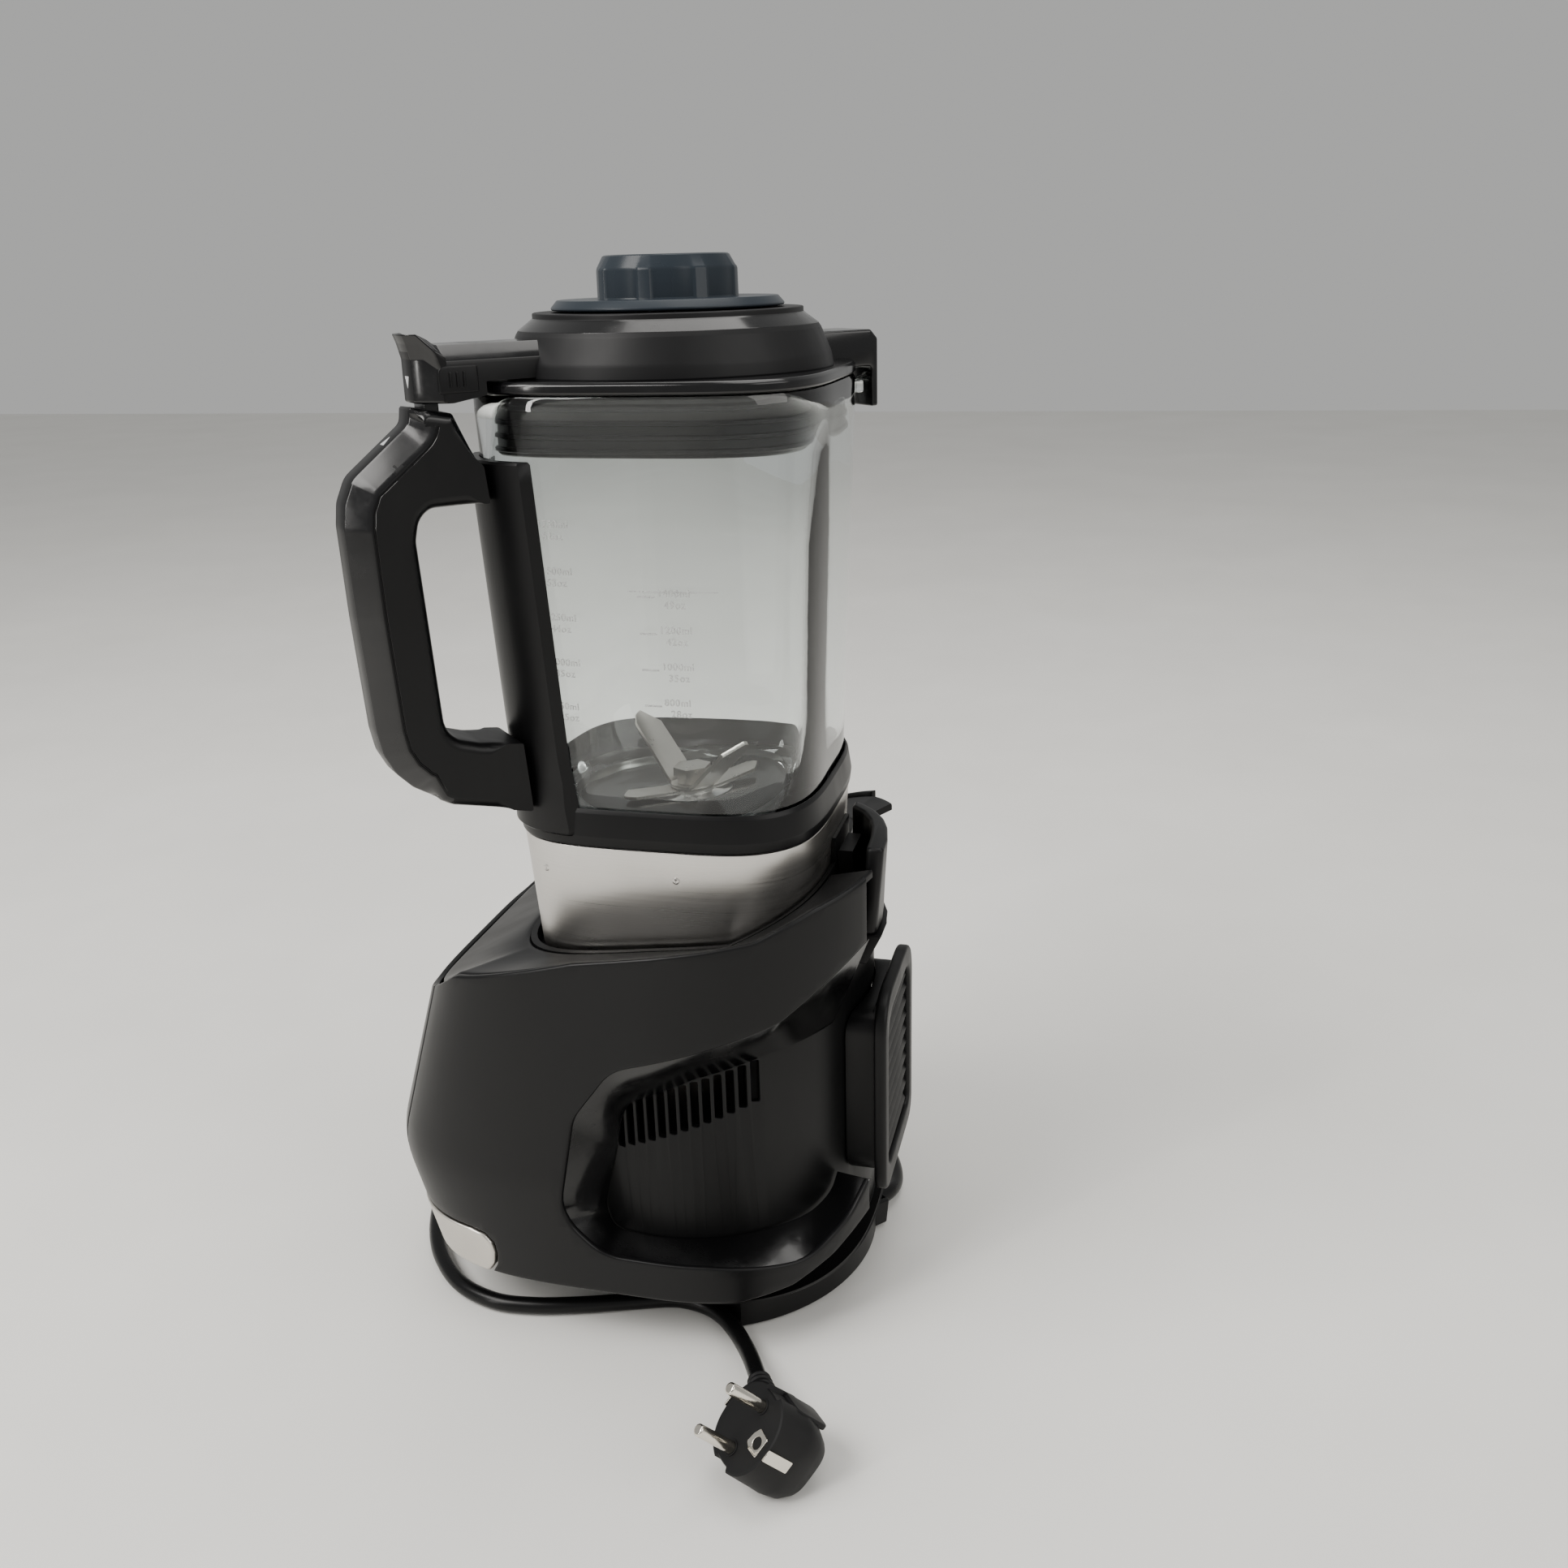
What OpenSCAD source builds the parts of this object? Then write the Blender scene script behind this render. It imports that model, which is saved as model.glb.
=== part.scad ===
// Countertop blender with a heated glass jar, in millimetres.
// Z is the jar's axis and z = 0 is the worktop; the control panel faces -Y.
// The handle and the lid's arm lie at -45 degrees, half way between +X and -Y.

/* [Base] */
// Thickness of the outer casing
shell_t = 3; // [2:0.5:3.5]
// Number of cooling slots in each side of the motor housing
side_slots = 13; // [6:1:14]
// Number of slats in the rear grille
rear_slats = 10; // [5:1:10]
// Height of the rubber ring under the base
foot_h = 3; // [2:0.5:3]

/* [Controls] */
// Radius of the two large buttons
big_button_r = 7; // [5:0.5:8]
// Radius of the four programme buttons
small_button_r = 5.5; // [4:0.5:7]
// Height of a button above the panel
button_proud = 1; // [0.6:0.2:2]

/* [Motor] */
// Outer radius of the stator
stator_r = 45; // [40:1:47]
// Radius of the motor shaft
motor_shaft_r = 4; // [3:0.5:5]
// Number of fan blades
fan_blades = 9; // [5:1:12]

/* [Jar] */
// Thickness of the glass
glass_t = 5; // [4:0.5:5.5]
// Width of the handle
handle_w = 27; // [22:1:28]
// Length of a cutting wing, from the shaft to its tip
wing_len = 33; // [25:1:36]
// Radius of the blade shaft
blade_shaft_r = 4; // [3:0.5:4]

/* [Lid] */
// Radius of the filling hole's seal
seal_r = 37.4; // [34:0.2:37.4]
// Number of ribs round the cap's knob
knob_ribs = 8; // [4:1:12]

/* [Mains lead] */
// Diameter of the mains lead
lead_d = 7.5; // [6:0.5:7.5]
// Diameter of a plug pin
pin_d = 4.8; // [4:0.1:4.8]

/* [Hidden] */

$fn = 96;
gap = 0.3;            // between casings that meet
run = 0.05;           // running fit of a shaft in its bush
far = 600;            // longer than anything that is cut
outline_pts = 56;     // points round an outline
jar_n = 3.8;          // squareness of the jar's outline
front_n = 4.2;        // squareness of the base in front of the axis
rear_n = 2.3;         // and behind it
handle_angle = -45;
hook_angle = 135;

// Heights of the base
edge_z = 28;          // lower edge of the casing
crest_z = 80;         // where the front stands furthest out
crest_r = 12;         // half the height over which the crest is rounded
top_z = 215;
deck_front_z = 150;
well_floor_z = 163.7;
well_r = 64.5;        // half the width of the well that takes the jar
well_wall = 2.5;
shroud_end_y = 87.1;
far_wing_y = 70;
slot_w = 3.1;
seam_x = 74;          // where the fascia meets the shrouds
housing_r = 80;
housing_t = 3;
pan_top_z = 26;

// Outlines on the side of the base, as [y, z]
rim = [[-107, 150], [-80, 171], [-52, 178.6], [-24, 186], [17, 192.5], [50, 197],
    [70, 205.7], [88, 210.5], [120, 216]];
well_top = [[-90, 168], [-2, 180], [33, 184.5], [67, 202], [90, 208]];
// Edge of the side recess on the casing, from the rear of the upper arm round the front
recess_edge = [[88, 183], [72, 170], [58, 160], [27, 150], [-10, 139], [-28, 115],
    [-38, 66], [-20, 48], [26, 47], [67, 43], [81, 55], [88, 67]];
// Edge of the recess on the motor housing, point by point with recess_edge
recess_floor = [[70, 139], [60, 137.5], [48, 136], [20, 128.5], [-11, 114], [-15, 96],
    [-24, 60], [-20, 50], [25, 50], [62, 51], [69, 56], [71, 64]];
recess_mid = [30, 95];

// Control panel: a flat plate on the sloping front
panel_z = 115;
panel_tilt = 72.2;
panel_w = 104;
panel_h = 56;
panel_t = 3;
panel_sunk = 1.8;
display_w = 46;
display_h = 20;
display_y = 11;
button_top_y = 11;
button_low_y = -15;
button_x = 38;
button_step = 24;

// Motor, on the jar's axis
shaft_z0 = 24;
shaft_z1 = 150;
stator_z = [58, 112];
bracket_z = [46.5, 116.5];
bracket_t = 7;
bearing_r = 11;
socket_z = [146, 160.9];
star_r = [13, 9];
star_points = 6;

// Jar
foot_z = 218;
glass_z = 402;
glass_half = [[218, 60], [224, 60.9], [233, 62.4], [241, 63.3], [378, 69], [398, 69.6], [402, 69.2]];
band_half = [[166, 60], [168, 61.4], [171, 62.2], [223.8, 65.2]];
collar_half = [[224, 66], [229, 66.5], [240, 64.7]];
plate_r = 49.9;
plate_z = [219, 225];
nut_z = 231.2;

// Lid
flange_z = 402.3;
lid_top_z = 429.6;
lid_bore_r = 38;
arm_w = 28;
arm_top = 421;

// Mains lead, from the gland round the far side and the front to the plug
lead_exit = [1, 61.5, 12.5];
lead_route = [lead_exit, [-5.4, 66.2, 11.4], [-11.8, 70.8, 10.3], [-18.2, 75.5, 9.2],
    [-24, 79.6, 8.1], [-31.5, 83, 7], [-40, 84, 5.5], [-50, 82.8, 4.5], [-62, 79, 4],
    [-76, 72, 4], [-90, 60.5, 4], [-102, 42, 4], [-110, 18, 4], [-114, -10, 4],
    [-114, -45, 4], [-106, -85, 4], [-88, -115, 4], [-58, -134, 4],
    [-22, -142, 4], [14, -139, 4], [48, -125, 4], [72, -104, 4], [82, -82, 4],
    [82, -62, 4], [77, -40, 4], [70, -18, 4], [65, -2, 4], [64.5, 8, 4], [67, 18, 4],
    [72, 26, 4], [79, 33, 4], [88, 39.5, 5], [98, 45, 8], [106, 49, 10]];
plug_pos = [156, 59.5, 27.5];
plug_turn = [-5, -43, 133];
plug_face_r = 18;
pin_gap = 19;
pin_len = 19;
pin_shank_r = pin_d / 2 - 0.2;

// ---------------------------------------------------------------- functions
function sgn(v) = v < 0 ? -1 : 1;
function lerp(a, b, t) = a + (b - a) * t;

// Point of a superellipse at the angle t: half width a, depth f in front and r behind
function egg(t, a, f, r, nf, nr) =
    let (c = cos(t), s = sin(t), d = s < 0 ? f : r, n = s < 0 ? nf : nr)
    [a * sgn(c) * pow(abs(c), 2 / n), d * sgn(s) * pow(abs(s), 2 / n)];
function turns() = [for (i = [0:outline_pts - 1]) 360 * (i + 0.5) / outline_pts];
function outline(a, f, r, nf, nr) = [for (t = turns()) egg(t, a, f, r, nf, nr)];
function oval(a) = outline(a, a, a, jar_n, jar_n);
function at_z(pts, z) = [for (p = pts) [p[0], p[1], z]];

// The base's outer surface at the height z
function base_a(z) = z < crest_z ? lerp(95, 97.5, (z - edge_z) / 52) : 97.5 - (z - crest_z) / 54;
function base_rear(z) = z < crest_z ? lerp(93, 95, (z - edge_z) / 52) : 95;
function front_low(z) = 117 + (z - edge_z) * 0.27;
function front_high(z) = 131 - (z - crest_z) * 0.3215;
function base_front(z) =
    z < crest_z - crest_r ? front_low(z)
    : z > crest_z + crest_r ? front_high(z)
    : let (u = (z - crest_z + crest_r) / (2 * crest_r))
      lerp(front_low(crest_z - crest_r + u * crest_r), front_high(crest_z + u * crest_r), u);
function base_pt(t, z, grow) =
    egg(t, base_a(z) + grow, base_front(z) + grow, base_rear(z) + grow, front_n, rear_n);
function base_ring(z, grow) = [for (t = turns()) let (p = base_pt(t, z, grow)) [p[0], p[1], z]];
// Half width of that surface at [y, z]
function base_x(y, z, grow) =
    let (d = (y < 0 ? base_front(z) : base_rear(z)) + grow, n = y < 0 ? front_n : rear_n)
    (base_a(z) + grow) * pow(max(0, 1 - pow(abs(y) / d, n)), 1 / n);

function height_at(y, line) = lookup(y, line);
// Point of the base's outline where the rim cuts it, found by stepping back and forth
function rim_pt(t, grow, z, steps) =
    let (p = base_pt(t, z, grow), rz = height_at(p[1], rim))
    steps == 0 ? [p[0], p[1], rz] : rim_pt(t, grow, rz, steps - 1);

function unit(v) = v / norm(v);
function turned(v, r) =
    let (a = [v[0], v[1] * cos(r[0]) - v[2] * sin(r[0]), v[1] * sin(r[0]) + v[2] * cos(r[0])],
         b = [a[0] * cos(r[1]) + a[2] * sin(r[1]), a[1], -a[0] * sin(r[1]) + a[2] * cos(r[1])])
    [b[0] * cos(r[2]) - b[1] * sin(r[2]), b[0] * sin(r[2]) + b[1] * cos(r[2]), b[2]];
function plug_pt(p) = plug_pos + turned(p, plug_turn);

// ---------------------------------------------------------------- shape tools
// Closed skin through rings of equal length, with a flat end at each side
module loft(rings) {
    n = len(rings[0]);
    m = len(rings);
    polyhedron(
        points = [for (r = rings) for (p = r) p],
        faces = concat(
            [[for (i = [0:n - 1]) i]],
            [[for (i = [n - 1:-1:0]) (m - 1) * n + i]],
            [for (j = [0:m - 2], i = [0:n - 1]) [j * n + i, (j + 1) * n + i, (j + 1) * n + (i + 1) % n]],
            [for (j = [0:m - 2], i = [0:n - 1]) [j * n + i, (j + 1) * n + (i + 1) % n, j * n + (i + 1) % n]]));
}

// The same through rings that come back to the first one, such as a frame or a band
module ring_loft(rings) {
    n = len(rings[0]);
    m = len(rings);
    polyhedron(
        points = [for (r = rings) for (p = r) p],
        faces = concat(
            [for (j = [0:m - 1], i = [0:n - 1]) let (k = (j + 1) % m)
                [j * n + i, k * n + i, k * n + (i + 1) % n]],
            [for (j = [0:m - 1], i = [0:n - 1]) let (k = (j + 1) % m)
                [j * n + i, k * n + (i + 1) % n, j * n + (i + 1) % n]]));
}

// Upright band with the outline of the jar, through [z, half width] steps
function jar_rings(steps, grow) = [for (s = steps) at_z(oval(s[1] + grow), s[0])];
module jar_loft(steps, grow = 0) {
    loft(jar_rings(steps, grow));
}

// Solid of an outline in [y, z], from x0 to x1
module side_cut(pts, x0, x1) {
    translate([x0, 0, 0])
        rotate([90, 0, 90])
            linear_extrude(x1 - x0) polygon(pts);
}

// Solid of an outline in [r, z] that stands in the plane at an angle, w wide
module fin(pts, angle, w) {
    rotate([0, 0, angle])
        translate([0, w / 2, 0])
            rotate([90, 0, 0])
                linear_extrude(w) polygon(pts);
}

module box(x, y, z) {
    translate([x[0], y[0], z[0]]) cube([x[1] - x[0], y[1] - y[0], z[1] - z[0]]);
}

// Rectangle with round corners, centred
module rounded(w, h, r) {
    square([w - 2 * r, h], center = true);
    square([w, h - 2 * r], center = true);
    for (x = [-1, 1], y = [-1, 1]) translate([x * (w / 2 - r), y * (h / 2 - r)]) circle(r, $fn = 48);
}

module tube(r1, r0, z0, z1) {
    translate([0, 0, z0])
        difference() {
            cylinder(r = r1, h = z1 - z0);
            translate([0, 0, -1]) cylinder(r = r0, h = z1 - z0 + 2);
        }
}

module on_panel(sink = panel_sunk) {
    translate([0, -base_front(panel_z), panel_z])
        rotate([panel_tilt, 0, 0])
            translate([0, 0, -sink]) children();
}

// ---------------------------------------------------------------- base casing
casing_z = [edge_z, 68, 74, 80, 86, 92, 125, 170, top_z];

module casing(out = 0, wall = shell_t) {
    difference() {
        loft([for (z = casing_z) base_ring(z, out)]);
        loft([for (z = concat([edge_z - 1], [for (i = [1:len(casing_z) - 2]) casing_z[i]], [top_z + 1]))
            base_ring(z, -wall)]);
    }
}

module above_rim() {
    side_cut(concat([[-150, 150]], rim, [[120, 260], [-150, 260]]), -far, far);
}

module chin_zone(grow) {
    side_cut([[-150, edge_z - 5], [-82, edge_z - 5], [-82, 50 + grow], [-150, 50 + grow]], -far, far);
    translate([-far, -82, 39]) rotate([0, 90, 0]) cylinder(r = 11 + grow, h = 2 * far);
    side_cut([[-82, edge_z - 5], [-75, edge_z - 5], [-75, 32], [-82, 39]], -far, far);
}

module side_shroud(side) {
    color("#1b1c1f")
        difference() {
            casing();
            above_rim();
            chin_zone(gap);
            // The half that belongs to the fascia and to the other side
            mirror([side < 0 ? 1 : 0, 0, 0]) {
                box([-far, seam_x + 0.15], [-200, -40], [0, far]);
                box([-far, 20], [-41, 200], [0, far]);
                side_cut(concat(recess_edge, [[120, 90], [120, 200]]), 0, far);
                side_cut([[40, 20], [40, 28], [60, 32], [75, 40], [89, 52], [120, 60], [120, 20]], 0, far);
            }
            box([-far, far], [shroud_end_y, 200], [0, far]);
            // The wing on the far side is shorter
            if (side < 0) box([-far, 0], [far_wing_y, 200], [120, far]);
        }
}
module side_shroud_right() { side_shroud(1); }
module side_shroud_left() { side_shroud(-1); }

module front_fascia() {
    color("#202125")
        difference() {
            casing();
            above_rim();
            chin_zone(gap);
            box([seam_x - 0.15, far], [-200, 200], [0, far]);
            box([-far, -seam_x + 0.15], [-200, 200], [0, far]);
            box([-far, far], [-60, 200], [0, far]);
            on_panel(0) translate([0, 0, -15]) linear_extrude(30) rounded(panel_w + 1, panel_h + 1, 8);
        }
}

module chin_trim() {
    color("#c3c4c6")
        intersection() {
            casing(0.6, 2.4);
            chin_zone(0);
        }
}

// Sloping top surface between the rim and the well
module top_deck() {
    inset = -shell_t - 0.6;
    edge = [for (t = turns()) rim_pt(t, inset, 180, 5)];
    mouth = [for (p = oval(well_r + well_wall + gap)) [p[0], p[1], height_at(p[1], well_top)]];
    deck_t = 2.5;
    color("#232428")
        difference() {
            ring_loft([
                [for (p = edge) p - [0, 0, 1 + deck_t]],
                [for (p = edge) p - [0, 0, 1]],
                mouth,
                [for (p = mouth) p - [0, 0, deck_t]]]);
            box([-28.5, 28.5], [60, 200], [0, far]);
            box([-far, far], [shroud_end_y - 1.1, 200], [0, far]);
            box([-far, 0], [far_wing_y - 1, 200], [0, far]);
        }
}

module jar_well() {
    floor_t = 2.5;
    z0 = well_floor_z - floor_t;
    color("#17181a")
        difference() {
            translate([0, 0, z0]) linear_extrude(60) polygon(oval(well_r + well_wall));
            translate([0, 0, well_floor_z]) linear_extrude(60) polygon(oval(well_r));
            side_cut(concat(well_top, [[90, 260], [-90, 260]]), -far, far);
            translate([0, 0, z0 - 1]) cylinder(r = 16, h = floor_t + 2);
            box([-23, 11], [60, 200], [168, far]);
        }
}

module rear_housing() {
    color("#1a1b1d")
        difference() {
            union() {
                tube(housing_r, housing_r - housing_t, pan_top_z + gap, 158);
                intersection() {
                    tube(housing_r, housing_r - housing_t, 157, 176);
                    box([-40, 40], [68, 100], [150, 180]);
                }
            }
            // Cooling slots in the sides: they rise and shorten towards the rear
            for (i = [0:side_slots - 1]) let (u = i / (side_slots - 1), y = lerp(-14, 43, u))
                box([-far, far], [y - slot_w / 2, y + slot_w / 2],
                    [lerp(92, 114, u), lerp(117, 134, u) - (i == 0 ? 9 : 0)]);
            box([-29, 29], [60, 100], [62, 139]);
        }
}

// Band of the side recess, from the casing in to the housing
module recess_bezel(side) {
    steps = 3;
    n = len(recess_edge);
    fine = [for (i = [0:n - 2], j = [0:steps - 1]) i + j / steps];
    where = concat(fine, [n - 1]);
    function along(line, s) = let (i = min(floor(s), n - 2)) lerp(line[i], line[i + 1], s - i);
    band_t = 2.5;
    quads = [for (s = where)
        let (o = along(recess_edge, s), f = along(recess_floor, s), d = unit(o - recess_mid),
             o0 = o + 0.6 * d, o1 = o + (0.6 + band_t) * d, f1 = f + band_t * d,
             y = min(o0[0], shroud_end_y - 2), y1 = min(o1[0], shroud_end_y - 2))
        [[base_x(y, o0[1], -shell_t - 0.7), y, o0[1]],
         [base_x(y1, o1[1], -shell_t - 0.7), y1, o1[1]],
         [sqrt(pow(housing_r + 1.2, 2) - pow(f1[0], 2)), f1[0], f1[1]],
         [sqrt(pow(housing_r + 1.2, 2) - pow(f[0], 2)), f[0], f[1]]]];
    color("#0c0c0e")
        difference() {
            mirror([side < 0 ? 1 : 0, 0, 0]) loft(quads);
            if (side < 0) box([-far, 0], [far_wing_y, 200], [120, far]);
        }
}
module recess_bezel_right() { recess_bezel(1); }
module recess_bezel_left() { recess_bezel(-1); }

module vent_box() {
    color("#1a1b1d")
        difference() {
            translate([0, 87, 99]) rotate([90, 0, 0]) linear_extrude(21) rounded(64, 80, 10);
            translate([0, 120, 99]) rotate([90, 0, 0]) linear_extrude(100) rounded(57, 73, 7);
            cylinder(r = housing_r + gap, h = far);
        }
}

module vent_grille() {
    slat_gap = 60 / rear_slats;
    color("#151618")
        translate([0, 93, 100]) rotate([90, 0, 0])
            difference() {
                linear_extrude(5.7) union() {
                    translate([0, 12]) rounded(74, 72, 20);
                    translate([0, -12]) rounded(74, 72, 12);
                }
                for (i = [0:rear_slats - 1])
                    translate([0, -31.5 + (i + 0.5) * slat_gap, -1])
                        linear_extrude(8) rounded(50, slat_gap * 0.55, slat_gap * 0.25);
            }
}

// Hook-shaped wall behind the jar; the heater's contacts stand inside it
module connector_hood() {
    outer = [[28, 90.6], [14, 90], [0.5, 87.6], [-9, 84.4], [-18, 79], [-25, 72.5], [-28, 67.8]];
    inner = [[-21, 67.8], [-15, 74], [-6, 78.6], [3, 81], [14, 82.4], [28, 83]];
    color("#1d1e20")
        difference() {
            union() {
                translate([0, 0, 168]) linear_extrude(48) polygon(concat(outer, inner));
                translate([0, 0, 160.3]) linear_extrude(5)
                    polygon(concat(outer, [[-28, 67.8], [28, 67.8]]));
                translate([0, 0, 164]) linear_extrude(6) polygon(concat(outer, inner));
            }
            cylinder(r = housing_r + gap, h = 176 + gap);
        }
}

module heater_socket() {
    color("#101012")
        difference() {
            box([-13, 8], [67.6, 73.6], [166, 206]);
            for (x = [-9, -2.5, 4]) box([x - 1, x + 1], [60, 72], [172, 200]);
        }
}

// Rear part of the pan: a round lobe, its front corners drawn in so that the lead can pass
function lobe(r, from, inset) = concat(
    [for (a = [from:(180 - 2 * from) / 32:180 - from + 0.01]) [r * cos(a), r * sin(a)]],
    [for (p = [[67.6, 28.8], [62.6, 20.8], [50, 14]]) [-p[0] + inset, p[1] + inset]],
    [for (p = [[50, 14], [62.6, 20.8], [67.6, 28.8]]) [p[0] - inset, p[1] + inset]]);

module base_pan() {
    floor_z = foot_h;
    color("#161719")
        difference() {
            union() {
                loft([at_z(outline(57, 92, 76, 2.6, 2.6), floor_z),
                    at_z(outline(66, 98, 84, 2.6, 2.6), pan_top_z)]);
                difference() {
                    translate([0, 0, 1]) linear_extrude(pan_top_z - 1) polygon(lobe(80.5, 25, 0));
                    translate([0, 0, -1]) linear_extrude(floor_z + 1) polygon(outline(56, 90, 74, 2.6, 2.6));
                }
                // Flange that closes the casing from below
                translate([0, 0, 23.5]) linear_extrude(2.5) polygon(outline(90.5, 112, 83, front_n, rear_n));
            }
            loft([at_z(outline(53, 88, 72, 2.6, 2.6), 6.5),
                at_z(outline(61.5, 93.5, 79.5, 2.6, 2.6), pan_top_z + 1)]);
            translate([0, 0, 6.5]) linear_extrude(pan_top_z) polygon(lobe(77, 28, 4));
            for (i = [0:11]) rotate([0, 0, i * 30]) box([18, 40], [-1.5, 1.5], [-1, 10]);
            screw_places() translate([0, 0, -1]) cylinder(r = 4, h = 7.5);
            at_exit() lead_channel(7.5);
        }
    // Walls of the channel in which the lead leaves the base
    color("#161719")
        difference() {
            intersection() {
                at_exit() lead_channel(10.5);
                translate([0, 0, floor_z]) linear_extrude(20) polygon(lobe(80, 25, 0.5));
            }
            at_exit() {
                difference() {
                    lead_channel(7.5);
                    box([-20, 0], [-20, 20], [-20, 20]);
                }
                rotate([0, 90, 0]) translate([0, 0, -20]) cylinder(r = 6.5 + gap, h = 40);
            }
        }
    color("#161719")
        screw_places()
            difference() {
                translate([0, 0, 6.2]) cylinder(r = 6, h = 15.4);
                cylinder(r = 2.1, h = 40);
                cylinder(r = 4, h = 6.5);
            }
}

module screw_places() {
    for (x = [-1, 1], y = [-60, 46]) translate([x * 36, y, 0]) children();
}

module base_screws() {
    color("#b8b8ba")
        screw_places() {
            translate([0, 0, 3.4]) cylinder(r = 3.6, h = 3.1);
            translate([0, 0, 6]) cylinder(r = 1.9, h = 14);
        }
}

module foot_ring() {
    color("#2a2a2c")
        linear_extrude(foot_h)
            difference() {
                polygon(outline(55, 89, 73, 2.6, 2.6));
                polygon(outline(48, 82, 66, 2.6, 2.6));
            }
}

// ---------------------------------------------------------------- controls
button_at = [["power", -button_x, button_top_y, big_button_r],
    ["start", button_x, button_top_y, big_button_r],
    ["blend", -1.5 * button_step, button_low_y, small_button_r],
    ["soup", -0.5 * button_step, button_low_y, small_button_r],
    ["crush", 0.5 * button_step, button_low_y, small_button_r],
    ["clean", 1.5 * button_step, button_low_y, small_button_r]];

module control_panel() {
    color("#0b0b0d")
        on_panel() difference() {
            translate([0, 0, -panel_t]) linear_extrude(panel_t) rounded(panel_w, panel_h, 7.5);
            translate([0, display_y, -10]) linear_extrude(20) rounded(display_w, display_h, 2.5);
            for (b = button_at) translate([b[1], b[2], -10]) cylinder(r = b[3] + 0.4, h = 20);
        }
}

module display_window() {
    color("#26282c")
        on_panel() translate([0, display_y, -2.2])
            linear_extrude(1.8) rounded(display_w - 0.6, display_h - 0.6, 2.2);
}

module panel_button(i) {
    flange_t = 1.2;
    b = button_at[i];
    color("#3a3b3f")
        on_panel() translate([b[1], b[2], 0]) {
            translate([0, 0, -4]) cylinder(r = b[3], h = 4 + button_proud);
            translate([0, 0, -panel_t - 0.3 - flange_t]) cylinder(r = b[3] + 1.5, h = flange_t);
        }
}
module power_button() { panel_button(0); }
module start_button() { panel_button(1); }
module blend_button() { panel_button(2); }
module soup_button() { panel_button(3); }
module crush_button() { panel_button(4); }
module clean_button() { panel_button(5); }

module control_board() {
    color("#1f5a3a")
        on_panel() translate([-46, -24, -10]) cube([92, 46, 1.6]);
}

module power_board() {
    color("#24603f") box([-38, 38], [-90, -88.4], [40, 96]);
    color("#24603f") box([-24, -4], [-88.4, -82], [52, 80]);
    color("#24603f") translate([18, -88.4, 66]) rotate([-90, 0, 0]) cylinder(r = 8, h = 7);
}

// ---------------------------------------------------------------- motor
module motor_stator() {
    color("#7d6a58")
        difference() {
            translate([0, 0, stator_z[0]]) cylinder(r = stator_r, h = stator_z[1] - stator_z[0]);
            translate([0, 0, stator_z[0] - 1]) cylinder(r = 24, h = 80);
        }
}

module motor_mount() {
    post = [49, 57];
    color("#8a8c90")
        difference() {
            union() {
                for (z = bracket_z) translate([0, 0, z]) cylinder(r = 20, h = bracket_t);
                for (a = [45:90:315]) rotate([0, 0, a]) {
                    for (z = bracket_z) box([15, 76], [-7, 7], [z, z + bracket_t]);
                    box(post, [-4, 4], [bracket_z[0] + 1, bracket_z[1] + 1]);
                }
            }
            translate([0, 0, 30]) cylinder(r = bearing_r + 0.1, h = 120);
        }
}

module motor_bearings() {
    color("#9c9ea2")
        for (z = bracket_z) tube(bearing_r, motor_shaft_r + run, z + 0.5, z + bracket_t - 0.5);
}

module motor_shaft() {
    color("#b4b6b9") translate([0, 0, shaft_z0]) cylinder(r = motor_shaft_r, h = shaft_z1 - shaft_z0);
}

module motor_armature() {
    core_z = [stator_z[0] + 2, stator_z[1] - 2];
    color("#a2643a") difference() {
        union() {
            tube(23.3, motor_shaft_r + run, core_z[0], core_z[1] - 12);
            tube(14, motor_shaft_r + run, core_z[1] - 13, core_z[1]);
        }
        for (i = [0:11]) rotate([0, 0, i * 30]) box([20.5, 30], [-1, 1], [core_z[0] - 1, core_z[1] - 11]);
    }
}

module cooling_fan() {
    color("#33363b") {
        tube(10, motor_shaft_r + run, 28, 43);
        tube(40, 9, 41, 42.5);
        for (i = [0:fan_blades - 1]) rotate([0, 0, i * 360 / fan_blades])
            box([9, 39], [-1, 1], [29, 42]);
    }
}

function star(grow) = [for (i = [0:2 * star_points - 1])
    let (a = i * 180 / star_points, r = star_r[i % 2] + grow) [r * cos(a), r * sin(a)]];

module drive_socket() {
    color("#2b2c30")
        difference() {
            translate([0, 0, socket_z[0]]) cylinder(r = 18.5, h = socket_z[1] - socket_z[0]);
            translate([0, 0, shaft_z1]) linear_extrude(20) polygon(star(0.6));
            translate([0, 0, socket_z[0] - 1]) cylinder(r = motor_shaft_r + run, h = 10);
        }
}

// ---------------------------------------------------------------- jar
module glass_jar() {
    foot_t = 9;
    color([0.75, 0.85, 0.85, 0.35])
        difference() {
            union() {
                jar_loft(glass_half);
                rotate([0, 0, hook_angle]) box([74, 88], [-9, 9], [392, 398]);
            }
            jar_loft([[foot_z + foot_t, 60 - glass_t], [foot_z + foot_t + 15, 63 - glass_t],
                [378, 69 - glass_t], [glass_z + 1, 69.7 - glass_t]]);
            translate([0, 0, foot_z - 1]) cylinder(r = plate_r + gap, h = foot_t + 3);
        }
}

module jar_collar() {
    color("#161618")
        difference() {
            jar_loft(collar_half);
            jar_loft([[223, 61.9], [229, 62.2], [233, 63], [241, 63.8]]);
        }
}

module steel_band() {
    color("#b9bbbd")
        difference() {
            jar_loft(band_half);
            jar_loft([for (s = [[165, 60], band_half[1], band_half[2], [224.5, 65.2]]) [s[0], s[1] - 1.2]]);
        }
}

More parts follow.
